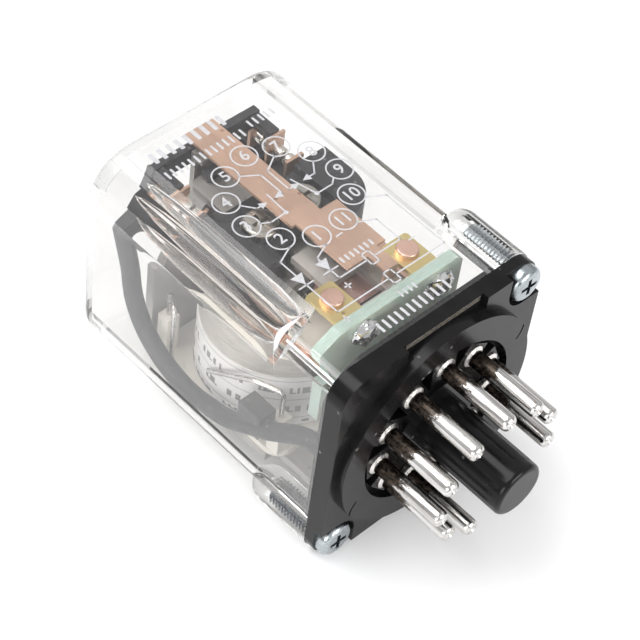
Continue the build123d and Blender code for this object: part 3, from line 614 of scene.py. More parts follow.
@dataclass(frozen=True)
class FloorPaper(Finish):
    """Pale matt paper under the relay."""

    name: str = "floor_paper"
    colour: Colour = (0.93, 0.93, 0.93)
    light: Colour = (0.96, 0.96, 0.96)
    roughness: float = 0.9

    def surface(self, graph: Graph, place: Socket, effects: Effects) -> Socket:
        """Shader; the tone drifts a little over the sheet."""
        tone = graph.colours(graph.noise(place, 60.0, 2.0), self.colour, self.light)
        return graph.principled({"Base Color": tone, "Roughness": self.roughness})


@dataclass
class Finishes:
    """Every finish of the relay, by the name of its slot."""

    effects: Effects
    made: dict[str, bpy.types.Material] = field(default_factory=dict)

    def __post_init__(self) -> None:
        """Build all the materials."""
        copper, pink = (0.6, 0.4, 0.3), (0.52, 0.36, 0.28)
        for slot, finish in {
            "clear_plastic": ClearPlastic(),
            "warm_clear": ClearPlastic("warm_clear", (0.93, 0.88, 0.85), (0.93, 0.91, 0.89)),
            "frosted_plastic": Frosted(),
            # white frosted crescents, and the painted highlight lines along the skirt corners
            "frosted_white_and_highlight": Frosted("frosted_white_and_highlight", (0.95, 0.95, 0.96), 0.5, 0.15),
            "black_plastic": Moulded("black_plastic", (0.006, 0.0055, 0.006),
                                     (0.01, 0.0095, 0.01), 0.2, 0.25, 0.003, 0.02, 0.2),
            "dark_moulding": Moulded("dark_moulding", (0.018, 0.0175, 0.02),
                                     (0.032, 0.031, 0.034), 0.45, 0.3, 0.012, 0.1, 0.4),
            "plated_pin": PlatedPin(),
            "zinc_screw": Metal("zinc_screw", (0.5, 0.54, 0.56), (0.3, 0.33, 0.35), 0.26, 0.5, 0.03,
                                (0.16, 0.15, 0.13)),
            "nickel_screw": Metal("nickel_screw", (0.6, 0.58, 0.54), (0.32, 0.3, 0.27), 0.3, 0.4),
            "cream_nylon": Moulded("cream_nylon", (0.66, 0.62, 0.55), (0.72, 0.69, 0.63), 0.42),
            "coil_tape": Tape(),
            "paper_label": Paper(),
            "plated_steel": Metal("plated_steel", (0.52, 0.5, 0.48), (0.4, 0.385, 0.37), 0.42,
                                  0.25, 0.06, (0.22, 0.2, 0.18), 0.75, 0.01),
            "copper_strip": Metal("copper_strip", copper, pink, 0.42, 0.2, 0.09,
                                  (0.16, 0.07, 0.05), 0.8, 0.006),
            "brass_tab": Metal("brass_tab", (0.74, 0.61, 0.3), (0.68, 0.55, 0.26), 0.34, 0.15),
            "rivet_copper": Metal("rivet_copper", (0.85, 0.56, 0.46), (0.7, 0.45, 0.36), 0.34),
            "enamelled_wire": Winding("enamelled_wire", Axis.X),
            "board_green": Laminate(),
            "solder": Metal("solder", (0.86, 0.86, 0.87), (0.66, 0.66, 0.67), 0.2, 0.8, 0.02),
            "contact_silver": Metal("contact_silver", (0.83, 0.81, 0.77), (0.6, 0.57, 0.53),
                                    0.25, 0.3),
            "spring_steel": Metal("spring_steel", (0.6, 0.6, 0.6), (0.4, 0.4, 0.4), 0.25),
            "black_sleeve": Moulded("black_sleeve", (0.02, 0.02, 0.023), (0.035, 0.035, 0.039),
                                    0.42, 0.6, 0.01, 0.08, 0.35),
            "tinned_wire": Metal("tinned_wire", (0.74, 0.72, 0.7), (0.5, 0.48, 0.46), 0.24),
            "diode_body": Moulded("diode_body", (0.03, 0.028, 0.028), (0.05, 0.045, 0.045), 0.3),
            "white_ink": Ink("white_ink", (0.68, 0.68, 0.7), (0.58, 0.58, 0.6), 0.5, 0.82),
            "dark_ink": Ink("dark_ink", (0.12, 0.115, 0.115), (0.2, 0.195, 0.19), 0.6),
            "stamped_strip": Stamped(),
        }.items():
            self.made[slot] = finish.build(self.effects)

    def dress(self, piece: bpy.types.Object, slot: str) -> None:
        """Give a piece one finish all over."""
        piece.data.materials.clear()
        piece.data.materials.append(self.made[slot])


# ---- mesh tools -----------------------------------------------------------------------------
@dataclass
class Shape:
    """A mesh in the making, in millimetres, in the relay's own frame."""

    bm: bmesh.types.BMesh = field(default_factory=bmesh.new)

    def _move(self, verts: Iterable, matrix: Matrix) -> None:
        """Transform some vertices."""
        bmesh.ops.transform(self.bm, matrix=matrix, verts=list(verts))

    def box(self, x: Limits, y: Limits, z: Limits) -> list:
        """Add a box between two limits along each axis.

        Args:
            x: Limits along X.
            y: Limits along Y.
            z: Limits along Z.

        Returns:
            Its vertices.
        """
        made = bmesh.ops.create_cube(self.bm, size=1.0)["verts"]
        centre = Vector(((x[0] + x[1]) / 2, (y[0] + y[1]) / 2, (z[0] + z[1]) / 2))
        size = Matrix.Diagonal((x[1] - x[0], y[1] - y[0], z[1] - z[0], 1.0))
        self._move(made, Matrix.Translation(centre) @ size)
        return made

    def stroke(self, start: Flat, end: Flat, width: float, z: Limits) -> list:
        """Add a flat printed line with a little overlap at its ends.

        Args:
            start: First end, in X and Y.
            end: Second end.
            width: Width of the line.
            z: Bottom and top of the ink.

        Returns:
            Its vertices.
        """
        a, b = Vector((*start, 0)), Vector((*end, 0))
        length = (b - a).length
        made = self.box((-width / 2, length + width / 2), (-width / 2, width / 2), z)
        turn = Matrix.Rotation(math.atan2(b.y - a.y, b.x - a.x), 4, "Z")
        self._move(made, Matrix.Translation(a) @ turn)
        return made

    def path(self, points: Sequence[Flat], width: float, z: Limits) -> None:
        """Add a printed line of one width through several points."""
        for start, end in zip(points, points[1:]):
            self.stroke(start, end, width, z)

    def plate(self, corners: Sequence[Flat], z: Limits) -> None:
        """Add a flat plate with the given corners.

        Args:
            corners: Corners in X and Y, in order.
            z: Bottom and top of the plate.
        """
        verts = [self.bm.verts.new((*corner, z[0])) for corner in corners]
        face = self.bm.faces.new(verts)
        grown = bmesh.ops.extrude_face_region(self.bm, geom=[face])["geom"]
        self._move([v for v in grown if isinstance(v, bmesh.types.BMVert)],
                   Matrix.Translation((0, 0, z[1] - z[0])))

    def ring(self, centre: Flat, radius: float, width: float, z: Limits,
             segments: int = 48) -> None:
        """Add a flat printed ring.

        Args:
            centre: Middle in X and Y.
            radius: Radius of the line's middle.
            width: Width of the line.
            z: Bottom and top of the ink.
            segments: Sides of the ring.
        """
        inner, outer = radius - width / 2, radius + width / 2
        section = [self.bm.verts.new((centre[0] + r, centre[1], h))
                   for r, h in ((inner, z[0]), (outer, z[0]), (outer, z[1]), (inner, z[1]))]
        edges = [self.bm.edges.new((a, b)) for a, b in zip(section, section[1:] + section[:1])]
        bmesh.ops.spin(self.bm, geom=section + edges, cent=(*centre, 0), axis=(0, 0, 1),
                       angle=math.tau, steps=segments, use_merge=True, use_duplicate=False)

    def disc(self, centre: Flat, radius: float, z: Limits, segments: int = 24) -> None:
        """Add a flat round dot."""
        made = bmesh.ops.create_cone(self.bm, cap_ends=True, segments=segments, radius1=radius,
                                     radius2=radius, depth=z[1] - z[0])["verts"]
        self._move(made, Matrix.Translation((*centre, (z[0] + z[1]) / 2)))

    def turned(self, profile: Sequence[Flat], centre: Point, steps: int = 48) -> None:
        """Spin a profile round an axis along X.

        Args:
            profile: Points as a distance along X and a radius; open ends lie on the axis.
            centre: A point on the axis, at distance 0.
            steps: Sides of the turned shape.
        """
        verts = [self.bm.verts.new((centre[0] + x, centre[1], centre[2] + max(r, 1e-5)))
                 for x, r in profile]
        edges = [self.bm.edges.new((a, b)) for a, b in zip(verts, verts[1:])]
        bmesh.ops.spin(self.bm, geom=verts + edges, cent=centre, axis=(1, 0, 0),
                       angle=math.tau, steps=steps, use_merge=True, use_duplicate=False)

    def bevelled(self, verts: Iterable, width: float, segments: int = 2) -> None:
        """Round the edges of part of the mesh.

        Args:
            verts: Vertices of the part.
            width: Width of the rounding.
            segments: Faces across it.
        """
        chosen = set(verts)
        edges = [e for e in self.bm.edges if all(v in chosen for v in e.verts)]
        bmesh.ops.bevel(self.bm, geom=edges, offset=width, offset_type="OFFSET",
                        affect="EDGES", segments=segments, profile=0.5, material=-1)

    def finish(self, name: str, smooth: bool = True) -> bpy.types.Object:
        """Clean the mesh, turn it into metres and link it.

        Args:
            name: Name of the piece.
            smooth: Whether its faces are shaded smooth up to 35 degrees.

        Returns:
            The new object, at the origin.
        """
        bmesh.ops.remove_doubles(self.bm, verts=self.bm.verts, dist=1e-4)
        bmesh.ops.recalc_face_normals(self.bm, faces=self.bm.faces)
        bmesh.ops.scale(self.bm, vec=(MM, MM, MM), verts=self.bm.verts)
        mesh = bpy.data.meshes.new(name)
        self.bm.to_mesh(mesh)
        self.bm.free()
        if smooth:
            mesh.shade_smooth()
            mesh.set_sharp_from_angle(angle=SHARP_ANGLE)
        piece = bpy.data.objects.new(name, mesh)
        bpy.context.scene.collection.objects.link(piece)
        return piece


@dataclass
class Assembly:
    """A group of pieces that ride on one body."""

    finishes: Finishes
    body: str = "root"

    def keep(self, piece: bpy.types.Object, finish: str, slot: Optional[str] = None,
             stands_for: Sequence[str] = ()) -> bpy.types.Object:
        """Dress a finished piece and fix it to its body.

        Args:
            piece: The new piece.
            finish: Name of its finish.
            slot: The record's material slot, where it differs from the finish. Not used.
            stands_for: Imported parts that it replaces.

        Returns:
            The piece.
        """
        self.finishes.dress(piece, finish)
        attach(piece, self.body)
        if stands_for:
            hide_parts(*stands_for)
        LOG.info("%s: %d faces on %s", piece.name, len(piece.data.polygons), self.body)
        return piece

    def dress_parts(self, finish: str, *nodes: str) -> None:
        """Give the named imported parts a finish."""
        for node in nodes:
            self.finishes.dress(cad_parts[node], finish)
            LOG.info("%s dressed as %s", node, finish)


# ---- printed side ---------------------------------------------------------------------------
@dataclass
class PrintedDiagram(Assembly):
    """Wiring diagram printed in white on the +Z side of the case."""

    face: float = 17.0
    ink: float = 0.02
    line: float = 0.21
    centre: Flat = (-29.35, -0.3)
    circle: float = 8.03
    ring: float = 1.75
    pins: int = 11
    first_angle: float = 106.0
    numeral: float = 2.4

    @property
    def z(self) -> Limits:
        """Bottom and top of the ink."""
        return self.face + 0.002, self.face + 0.002 + self.ink

    @property
    def high(self) -> Limits:
        """Bottom and top of the shapes that lie over the lines."""
        return self.z[0] + 0.003, self.z[1] + 0.003

    def spot(self, pin: int) -> Flat:
        """Centre of one pin's ring, in X and Y."""
        angle = math.radians(self.first_angle + 360 / self.pins * (pin - 1))
        return (self.centre[0] + self.circle * math.sin(angle),
                self.centre[1] + self.circle * math.cos(angle))

    def numbers(self) -> bpy.types.Object:
        """The eleven rings with their numerals."""
        shape = Shape()
        for pin in range(1, self.pins + 1):
            self.numeral_mesh(shape, str(pin), self.spot(pin), self.numeral)
            shape.ring(self.spot(pin), self.ring, self.line, self.z)
        return self.keep(shape.finish("print_numbers", False), "white_ink", "clear_plastic")

    def numeral_mesh(self, shape: Shape, text: str, spot: Flat, size: float) -> None:
        """Add one numeral, its top towards the far end of the case.

        Args:
            shape: The mesh that takes it.
            text: The digits.
            spot: Their middle.
            size: Size of the type.
        """
        curve = bpy.data.curves.new("numeral", "FONT")
        curve.body, curve.size = text, size
        curve.align_x, curve.align_y = "CENTER", "CENTER"
        curve.extrude, curve.offset, curve.resolution_u = self.ink / 2, 0.03, 4
        holder = bpy.data.objects.new("numeral", curve)
        bpy.context.scene.collection.objects.link(holder)
        mesh = bpy.data.meshes.new_from_object(
            holder.evaluated_get(bpy.context.evaluated_depsgraph_get()))
        turn = Matrix.Rotation(math.radians(90), 4, "Z")
        mesh.transform(Matrix.Translation((*spot, sum(self.z) / 2)) @ turn)
        shape.bm.from_mesh(mesh)
        bpy.data.meshes.remove(mesh)
        bpy.data.objects.remove(holder)
        bpy.data.curves.remove(curve)

    def arrow(self, shape: Shape, tip: Flat, way: float) -> None:
        """Add an arrow head; way is 1 if it points towards +Y, -1 towards -Y."""
        x, y = tip
        shape.plate([(x, y), (x - 0.55, y - way * 1.15), (x + 0.55, y - way * 1.15)], self.high)

    def diode(self, shape: Shape, x: float, y: float) -> None:
        """Add a diode's triangle, from (x, y) along X, and its bar."""
        shape.plate([(x, y - 0.95), (x + 1.75, y), (x, y + 0.95)], self.high)
        shape.stroke((x + 1.85, y - 1.15), (x + 1.85, y + 1.15), self.line, self.z)

    def contact_set(self, shape: Shape, side: int) -> None:
        """Add one changeover contact: two arrows, the blade and its lines.

        Args:
            shape: The mesh that takes it.
            side: 1 for pins 7 to 9, -1 for pins 3 to 5.
        """
        upper, lower, common = (7, 8, 9) if side > 0 else (4, 5, 3)
        if side > 0:
            near, far = self.spot(upper), self.spot(lower)
            shape.path([(near[0] + 1.1, near[1] - 1.35), (-33.6, 0.2), (-29.6, 0.2),
                        (-29.6, 1.2)], self.line, self.z)
            self.arrow(shape, (-29.6, 1.9), 1)
            shape.path([(far[0] + 1.4, far[1] - 1.05), (-29.65, 4.6), (-29.65, 3.6)],
                       self.line, self.z)
            self.arrow(shape, (-29.65, 2.6), -1)
            shape.path([(-30.7, 1.5), (-26.9, 2.45), (-26.9, 5.1), (-27.5, 5.85)], self.line,
                       self.z)
            shape.disc((-26.9, 2.45), 0.32, self.high)
        else:
            shape.path([(-35.05, -3.25), (-33.6, -0.95), (-29.6, -0.95), (-29.6, -1.6)],
                       self.line, self.z)
            self.arrow(shape, (-29.6, -2.25), -1)
            shape.path([(-31.2, -6.5), (-29.6, -5.2), (-29.6, -4.4)], self.line, self.z)
            self.arrow(shape, (-29.6, -3.5), 1)
            shape.path([(-30.6, -2.6), (-26.9, -2.8), (-26.8, -5.4), (-27.45, -6.6)], self.line,
                       self.z)
            shape.disc((-26.9, -2.8), 0.32, self.high)
        LOG.info("contact %d-%d-%d printed", upper, common, lower)

    def wiring(self) -> bpy.types.Object:
        """Lines, arrows, diodes and coil boxes."""
        shape = Shape()
        for side in (1, -1):
            self.contact_set(shape, side)
        # set coil, between pins 2 and 10
        shape.path([(-22.3, -6.5), (-21.2, -9.0), (-11.1, -9.0), (-11.1, -0.4)], self.line,
                   self.z)
        self.diode(shape, -18.4, -9.0)
        shape.path([(-11.1, 0.8), (-11.1, 9.2), (-21.3, 9.2), (-22.6, 6.9)], self.line, self.z)
        # reset coil, between pins 1 and 11
        shape.path([(-19.9, -2.6), (-18.9, -5.05), (-14.9, -5.05), (-14.9, -0.5)], self.line,
                   self.z)
        self.diode(shape, -18.3, -5.05)
        shape.path([(-14.9, 0.9), (-14.9, 5.3), (-19.1, 5.3), (-20.2, 3.1)], self.line, self.z)
        for x in ((-12.15, -10.1), (-16.0, -13.95)):
            shape.path([(x[0], -0.4), (x[1], -0.4), (x[1], 0.8), (x[0], 0.8), (x[0], -0.4)],
                       self.line, self.z)
        # polarity marks
        for x, y, plus in ((-20.1, -0.2, False), (-14.1, 6.5, False), (-10.0, 7.4, False),
                           (-9.7, -8.9, True), (-13.4, -5.1, True)):
            shape.stroke((x, y - 0.45), (x, y + 0.45), self.line, self.z)
            if plus:
                shape.stroke((x - 0.45, y), (x + 0.45, y), self.line, self.z)
        return self.keep(shape.finish("print_lines", False), "white_ink", "clear_plastic")

    def bars(self) -> bpy.types.Object:
        """Plain bars where the case carries rows of type."""
        shape = Shape()
        # low and high X, first and last Y, width of a bar and the gap after it
        rows = ((-44.9, -43.0, -10.0, 2.2, 0.62, 0.78), (-41.3, -39.9, -10.4, 2.6, 0.34, 0.62),
                (-41.9, -40.6, 3.9, 8.9, 0.34, 0.62), (-17.3, -16.3, -3.0, 2.4, 0.32, 0.5),
                (-8.9, -7.9, -1.2, 1.5, 0.3, 0.48), (-6.9, -5.3, -6.9, 5.6, 0.4, 0.62))
        for x_low, x_high, start, stop, width, gap in rows:
            y = start
            while y + width <= stop:
                verts = shape.box((x_low, x_high), (y, y + width), self.z)
                self.rounded(shape, verts)
                y += width + gap
        return self.keep(shape.finish("print_bars", False), "white_ink", "clear_plastic")

    @staticmethod
    def rounded(shape: Shape, verts: list) -> None:
        """Round the corners of one bar."""
        chosen = set(verts)
        edges = [e for e in shape.bm.edges if all(v in chosen for v in e.verts)
                 and abs(e.verts[0].co.z - e.verts[1].co.z) > 1e-4]
        bmesh.ops.bevel(shape.bm, geom=edges, offset=0.12, offset_type="OFFSET",
                        affect="EDGES", segments=3, profile=0.5, material=-1)

    def build(self) -> None:
        """Build all the printing."""
        self.numbers()
        self.wiring()
        self.bars()


# ---- case, base and screws ------------------------------------------------------------------
@dataclass
class CaseAndBase(Assembly):
    """Clear case, black base with its pins, and the two case screws."""

    flange_back: float = -3.93
    screw_offset: float = 14.27
    thread_start: float = -11.4
    thread_root: float = 1.2
    thread_crest: float = 1.45
    thread_pitch: float = 0.55
    thread_steps: int = 28
    strip: tuple[Limits, Limits, Limits] = ((-2.1, -2.04), (-6.35, 6.35), (16.3, 17.12))
    marks: tuple[Point, ...] = ((-1.15, -16.0, 9.4), (-1.15, -15.7, 7.6))
    mark_profile: tuple[Flat, ...] = ((-0.02, 0.0), (-0.02, 0.42), (0.05, 0.36), (0.07, 0.0))
    case_half: float = 17.0
    case_end: float = -48.4
    edge_radius: float = 6.8
    ramp_start: float = -11.93
    frost_span: float = 34.0
    frost_section: tuple[Flat, ...] = ((0.35, 5.7), (0.35, 6.45), (1.5, 6.7), (2.6, 6.55),
                                       (2.4, 5.8))
    frost_tip: float = -12.7
    frost_bulge: float = 1.1
    ramp_reach: float = 4.75
    ramp_round: float = 1.1
    skirt_apex: float = 23.05
    # width of the painted highlight lines along the skirt corners
    highlight_line_width: float = 0.3
    inset: float = 0.07
    rib_angles: tuple[float, ...] = (15.0, 45.0, 75.0)
    rib_reach: float = 4.12
    rib_profile: tuple[Flat, ...] = ((-43.0, 0.0), (-41.5, 0.35), (-38.0, 0.7), (-32.0, 0.95),
                                     (-19.0, 1.0), (-16.0, 0.75), (-13.0, 0.0))

    def threads(self) -> bpy.types.Object:
        """Cut threads of the two screws, seen through the clear bosses."""
        shape = Shape()
        turns = int((self.flange_back - 0.3 - self.thread_start) / self.thread_pitch)
        for side in (1, -1):
            start = self.thread_start
            axis = Vector((0, side * self.screw_offset, side * self.screw_offset))
            half = self.thread_pitch * 0.3
            section = [shape.bm.verts.new(axis + Vector((start + along, 0, radius)))
                       for along, radius in ((-half, self.thread_root),
                                             (0, self.thread_crest),
                                             (half, self.thread_root))]
            edges = [shape.bm.edges.new((section[k], section[(k + 1) % 3])) for k in range(3)]
            bmesh.ops.spin(shape.bm, geom=section + edges, cent=tuple(axis), axis=(1, 0, 0),
                           angle=math.tau * turns, steps=self.thread_steps * turns,
                           dvec=(self.thread_pitch / self.thread_steps, 0, 0),
                           use_merge=False, use_duplicate=False)
        return self.keep(shape.finish("screw_threads"), "zinc_screw")

    def stamped(self) -> bpy.types.Object:
        """Hot-stamped strip on the floor of the flange's notch."""
        shape = Shape()
        shape.bevelled(shape.box(*self.strip), 0.02, 1)
        return self.keep(shape.finish("marking_strip"), "stamped_strip", "black_plastic")

    def mould_marks(self) -> bpy.types.Object:
        """Two small raised mould marks on the flange, left of the disc."""
        shape = Shape()
        for place in self.marks:
            shape.turned(self.mark_profile, place, 20)
        return self.keep(shape.finish("mould_marks"), "black_plastic")

    def corner_frost(self) -> bpy.types.Object:
        """Small rough ribs where the far corners left the mould."""
        shape = Shape()
        centre = self.case_half - self.edge_radius
        for side_y, side_z in ((1, 1), (-1, 1), (-1, -1), (1, -1)):
            middle = math.atan2(side_z, side_y)
            origin = Vector((0, side_y * centre, side_z * centre))
            first = middle - math.radians(self.frost_span / 2)
            section = [shape.bm.verts.new(origin + Vector((
                self.case_end + along, out * math.cos(first), out * math.sin(first))))
                       for along, out in self.frost_section]
            count = len(section)
            edges = [shape.bm.edges.new((section[k], section[(k + 1) % count]))
                     for k in range(count)]
            face = shape.bm.faces.new(section)
            bmesh.ops.spin(shape.bm, geom=section + edges + [face], cent=tuple(origin),
                           axis=(1, 0, 0), angle=math.radians(self.frost_span), steps=8,
                           use_merge=False, use_duplicate=False)
        return self.keep(shape.finish("case_corner_frost"), "frosted_plastic", "clear_plastic")

    def corner_ribs(self) -> bpy.types.Object:
        """Tapered clear ribs inside the two long edges that end in a skirt corner."""
        shape = Shape()
        centre = self.case_half - self.edge_radius
        for side_y, side_z in SKIRT_CORNERS:
            for angle in self.rib_angles:
                place = (0.0,
                         side_y * (centre + self.rib_reach * math.sin(math.radians(angle))),
                         side_z * (centre + self.rib_reach * math.cos(math.radians(angle))))
                shape.turned(self.rib_profile, place, 28)
        return self.keep(shape.finish("case_corner_ribs"), "warm_clear", "clear_plastic")

    def frost_and_highlight_lines(self) -> bpy.types.Object:
        """Rough crescents on the ramps of the two skirt corners, and thin white lines along the
        rounded skirt corners as painted highlights.
        """
        shape = Shape()
        corner = (self.case_half - self.edge_radius) * math.sqrt(2)
        apex = self.case_half * math.sqrt(2)
        for side_y, side_z in SKIRT_CORNERS:
            out = Vector((0, side_y, side_z)).normalized()
            across = Vector((0, side_z, -side_y)).normalized()
            made = bmesh.ops.create_grid(shape.bm, x_segments=20, y_segments=3, size=1.0)["verts"]
            for vert in made:
                width = vert.co.x * self.ramp_reach
                inner = corner + math.sqrt(self.edge_radius ** 2 - width ** 2)
                outer = max(inner, apex - math.hypot(width, self.ramp_round))
                reach = inner + (outer - inner) * (vert.co.y + 1) / 2
                along = self.frost_tip - self.frost_bulge * (1 - vert.co.x ** 2)
                vert.co = (out * (reach - self.inset) + across * width
                           + Vector((along + self.inset, 0, 0)))
        bmesh.ops.solidify(shape.bm, geom=shape.bm.faces[:], thickness=0.03)
        # painted highlights: thin white strips just inside the apex of each rounded skirt corner,
        # standing for the bright line the clear edge shows
        for side_y, side_z in SKIRT_CORNERS:
            line = shape.box((self.ramp_start - 0.2, self.flange_back - 0.05),
                             (-self.highlight_line_width / 2, self.highlight_line_width / 2), (0.0, 0.02))
            turn = Matrix.Rotation(math.atan2(-side_y, side_z), 4, "X")
            put = Matrix.Translation(Vector((0, side_y, side_z)).normalized()
                                     * (self.skirt_apex - self.inset))
            bmesh.ops.transform(shape.bm, matrix=put @ turn, verts=line)
        return self.keep(shape.finish("case_ramp_crescents_and_highlights"), "frosted_white_and_highlight", "clear_plastic")

    def build(self) -> None:
        """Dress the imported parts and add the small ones."""
        self.dress_parts("clear_plastic", "clear_case")
        self.dress_parts("black_plastic", "base_plate")
        self.dress_parts("plated_pin", "plug_pins")
        self.dress_parts("zinc_screw", "case_screws")
        self.threads()
        self.stamped()
        self.mould_marks()
        self.corner_frost()
        # frosted crescents and the painted highlight lines
        self.frost_and_highlight_lines()
        self.corner_ribs()


# ---- magnets and contacts -------------------------------------------------------------------
@dataclass
class SetMagnet(Assembly):
    """Large coil with its axis along Z, its yoke and the label round it."""

    axis_x: float = -26.5
    label_radius: float = 11.65
    row_heights: tuple[float, ...] = (-4.85, -8.55, -11.1)
    stroke_heights: tuple[float, ...] = (1.15, 1.15, 0.55)
    stroke_widths: tuple[float, ...] = (0.35, 0.5, 0.75, 1.0)
    stroke_depth: Limits = (-0.01, 0.03)
    ends: Limits = (-168.0, -12.0)
    foot_share: float = 0.45
    word_share: float = 0.28

    def label_marks(self) -> bpy.types.Object:
        """Rows of short plain strokes on the label."""
        shape = Shape()
        pick = random.Random(11)
        for height, tall in zip(self.row_heights, self.stroke_heights):
            angle, last = (math.radians(end) for end in self.ends)
            while angle < last:
                width = pick.choice(self.stroke_widths)
                verts = shape.box((-width / 2, width / 2), self.stroke_depth,
                                  (height - tall / 2, height + tall / 2))
                if pick.random() < self.foot_share:
                    verts += shape.box((-width / 2, width / 2 + 0.45), self.stroke_depth,
                                       (height - tall / 2, height - tall / 2 + 0.22))
                turn = Matrix.Rotation(angle + math.radians(90), 4, "Z")
                put = Matrix.Translation((self.axis_x + self.label_radius * math.cos(angle),
                                          self.label_radius * math.sin(angle), 0))
                bmesh.ops.transform(shape.bm, matrix=put @ turn, verts=verts)
                step = width + (2.1 if pick.random() < self.word_share else 0.62)
                angle += step / self.label_radius
        return self.keep(shape.finish("label_marks", False), "dark_ink", "paper_label")

    def build(self) -> None:
        """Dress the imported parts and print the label."""
        self.dress_parts("cream_nylon", "set_bobbin")
        self.dress_parts("coil_tape", "set_winding")
        self.dress_parts("paper_label", "set_label")
        self.dress_parts("plated_steel", "set_core", "set_yoke", "set_armature", "latch_lever",
                         "reset_yoke", "reset_core")
        self.dress_parts("spring_steel", "return_spring")
        self.dress_parts("tinned_wire", "coil_end_left", "coil_end_right")
        self.dress_parts("black_sleeve", "lead_wire")
        self.dress_parts("dark_moulding", "lead_clip", "latch_roller")
        self.label_marks()


@dataclass
class ContactsAndBoard(Assembly):
    """Contact block with its blades, the reset coil and the circuit board."""

    board_face: float = -9.1
    blob_radius: float = 1.75
    blob_y: float = 6.45
    blob_z: float = 12.6
    blob_lumps: float = 0.24
    blob_squash: Flat = (0.86, 1.25)
    blob_lean: float = 0.3

    def solder(self) -> bpy.types.Object:
        """Lumpy solder on the board where the tabs come through."""
        shape = Shape()
        for side in (1, -1):
            made = bmesh.ops.create_icosphere(shape.bm, subdivisions=4,
                                              radius=self.blob_radius)["verts"]
            seed = Vector((side * 3.1, 0.7, 1.9))
            for vert in made:
                wobble = noise.fractal(vert.co * 0.9 + seed, 0.9, 2.2, 3)
                vert.co *= 1.0 + self.blob_lumps * wobble
                vert.co.x *= self.blob_squash[0]
                vert.co.y = self.blob_squash[1] * vert.co.y + self.blob_lean
            put = Matrix.Translation((self.board_face, side * self.blob_y, self.blob_z))
            bmesh.ops.transform(shape.bm, matrix=put, verts=made)
        geometry = shape.bm.verts[:] + shape.bm.edges[:] + shape.bm.faces[:]
        cut = bmesh.ops.bisect_plane(shape.bm, geom=geometry, dist=1e-5, clear_inner=True,
                                     plane_co=(self.board_face + 0.001, 0, 0),
                                     plane_no=(1, 0, 0))
        rim = [e for e in cut["geom_cut"] if isinstance(e, bmesh.types.BMEdge)]
        bmesh.ops.holes_fill(shape.bm, edges=rim)
        return self.keep(shape.finish("board_solder_blobs"), "solder",
                         stands_for=("board_solder",))

    def build(self) -> None:
        """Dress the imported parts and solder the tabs."""
        self.dress_parts("dark_moulding", "contact_block", "reset_bobbin", "pusher_card")
        self.dress_parts("contact_silver", "fixed_contacts", "moving_contacts_left",
                         "moving_contacts_right")
        self.dress_parts("nickel_screw", "block_screws")
        self.dress_parts("copper_strip", "spring_strap", "fixed_blades", "moving_blade_left",
                         "moving_blade_right", "contact_strips")
        self.dress_parts("rivet_copper", "tab_rivets", "strip_rivets")
        self.dress_parts("enamelled_wire", "reset_winding")
        self.dress_parts("board_green", "circuit_board")
        self.dress_parts("brass_tab", "board_tabs")
        self.dress_parts("diode_body", "diodes")
        self.solder()


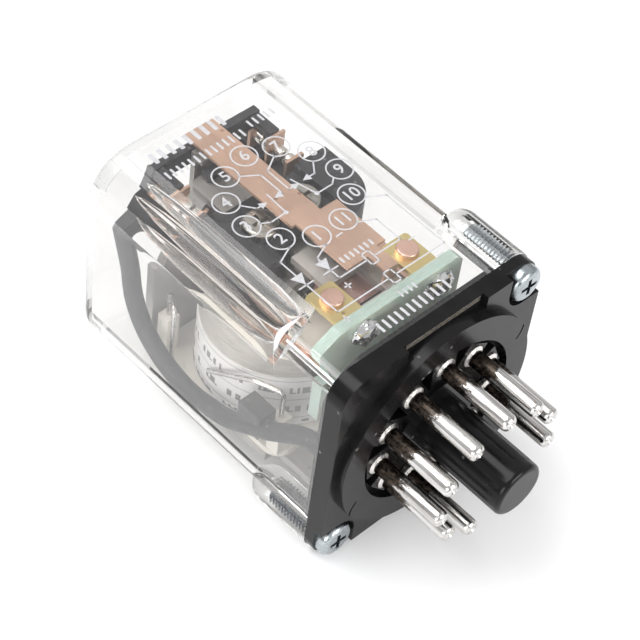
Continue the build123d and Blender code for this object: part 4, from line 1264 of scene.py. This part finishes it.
# ---- studio ---------------------------------------------------------------------------------
@dataclass
class Studio:
    """Pale floor, soft lamps and the camera."""

    effects: Effects
    floor_z: float = -17.26
    floor_size: float = 1500.0
    lens: float = 123.8
    place: Point = (99.42, -142.03, 213.48)
    right: Point = (0.6820, 0.7249, 0.0965)
    down: Point = (0.5948, -0.4730, -0.6500)
    forward: Point = (-0.4255, 0.5007, -0.7538)
    sky_tones: tuple[Flat, ...] = ((0.0, 0.62), (0.16, 0.66), (0.4, 0.95), (1.0, 1.0))
    sky_strength: float = 0.72
    aim: Point = (-18, 0, 0)
    lamps: tuple[tuple[str, Point, Flat, float], ...] = (
        ("key", (-160, -120, 420), (320, 260), 1.1),
        ("side", (380, 60, 170), (260, 200), 1.1),
        ("front", (120, -360, 120), (260, 160), 0.6))

    def camera(self) -> None:
        """Stand the camera where the relay is looked at from above its pins."""
        data = bpy.data.cameras.new("camera")
        data.lens, data.sensor_width, data.clip_start = self.lens, 36.0, 0.01
        holder = bpy.data.objects.new("camera", data)
        turn = Matrix((self.right, tuple(-d for d in self.down),
                       tuple(-f for f in self.forward))).transposed()
        holder.matrix_world = (Matrix.Translation(Vector(self.place) * MM) @ turn.to_4x4())
        bpy.context.scene.collection.objects.link(holder)
        bpy.context.scene.camera = holder

    def floor(self) -> None:
        """Lay a pale matt floor under the relay."""
        shape = Shape()
        made = bmesh.ops.create_grid(shape.bm, x_segments=2, y_segments=2,
                                     size=self.floor_size)["verts"]
        bmesh.ops.transform(shape.bm, matrix=Matrix.Translation((0, 0, self.floor_z)),
                            verts=made)
        piece = shape.finish("floor", False)
        piece.data.materials.append(FloorPaper().build(self.effects))

    def lamp(self, name: str, place: Point, size: Flat, power: float) -> None:
        """Hang one soft lamp.

        Args:
            name: Name of the lamp.
            place: Where it hangs, in millimetres.
            size: Its two sides, in millimetres.
            power: Its power in watts.
        """
        data = bpy.data.lights.new(name, "AREA")
        data.shape, data.size, data.size_y = "RECTANGLE", size[0] * MM, size[1] * MM
        data.energy = power
        holder = bpy.data.objects.new(name, data)
        way = (Vector(self.aim) - Vector(place)).normalized()
        holder.matrix_world = (Matrix.Translation(Vector(place) * MM)
                               @ way.to_track_quat("-Z", "Y").to_matrix().to_4x4())
        bpy.context.scene.collection.objects.link(holder)

    def sky(self) -> None:
        """Light the room: bright overhead, greyer near the horizon."""
        world = bpy.data.worlds.new("studio")
        world.use_nodes = True
        graph = Graph(world.node_tree)
        graph.tree.nodes.clear()
        height = graph.axes(graph.node("ShaderNodeTexCoord").outputs["Generated"])[2]
        ramp = graph.node("ShaderNodeValToRGB", {"Fac": height})
        while len(ramp.color_ramp.elements) < len(self.sky_tones):
            ramp.color_ramp.elements.new(0.5)
        for element, (where, tone) in zip(ramp.color_ramp.elements, self.sky_tones):
            element.position = where
            element.color = (tone, tone, tone * 1.01, 1.0)
        shade = graph.node("ShaderNodeBackground", {"Color": ramp.outputs[0],
                                                     "Strength": self.sky_strength})
        graph.feed(shade.outputs[0], graph.node("ShaderNodeOutputWorld").inputs["Surface"])
        bpy.context.scene.world = world

    def build(self) -> None:
        """Set up everything round the relay."""
        self.camera()
        self.floor()
        self.sky()
        for lamp in self.lamps:
            self.lamp(*lamp)
        bpy.context.scene.view_settings.view_transform = "Standard"


def main() -> None:
    """Build the studio and every part of the relay in order."""
    logging.basicConfig(level=logging.INFO, format="%(name)s %(message)s")
    effects = Effects()
    Studio(effects).build()
    finishes = Finishes(effects)
    CaseAndBase(finishes).build()
    SetMagnet(finishes).build()
    ContactsAndBoard(finishes).build()
    PrintedDiagram(finishes).build()


if __name__ == "__main__":
    main()
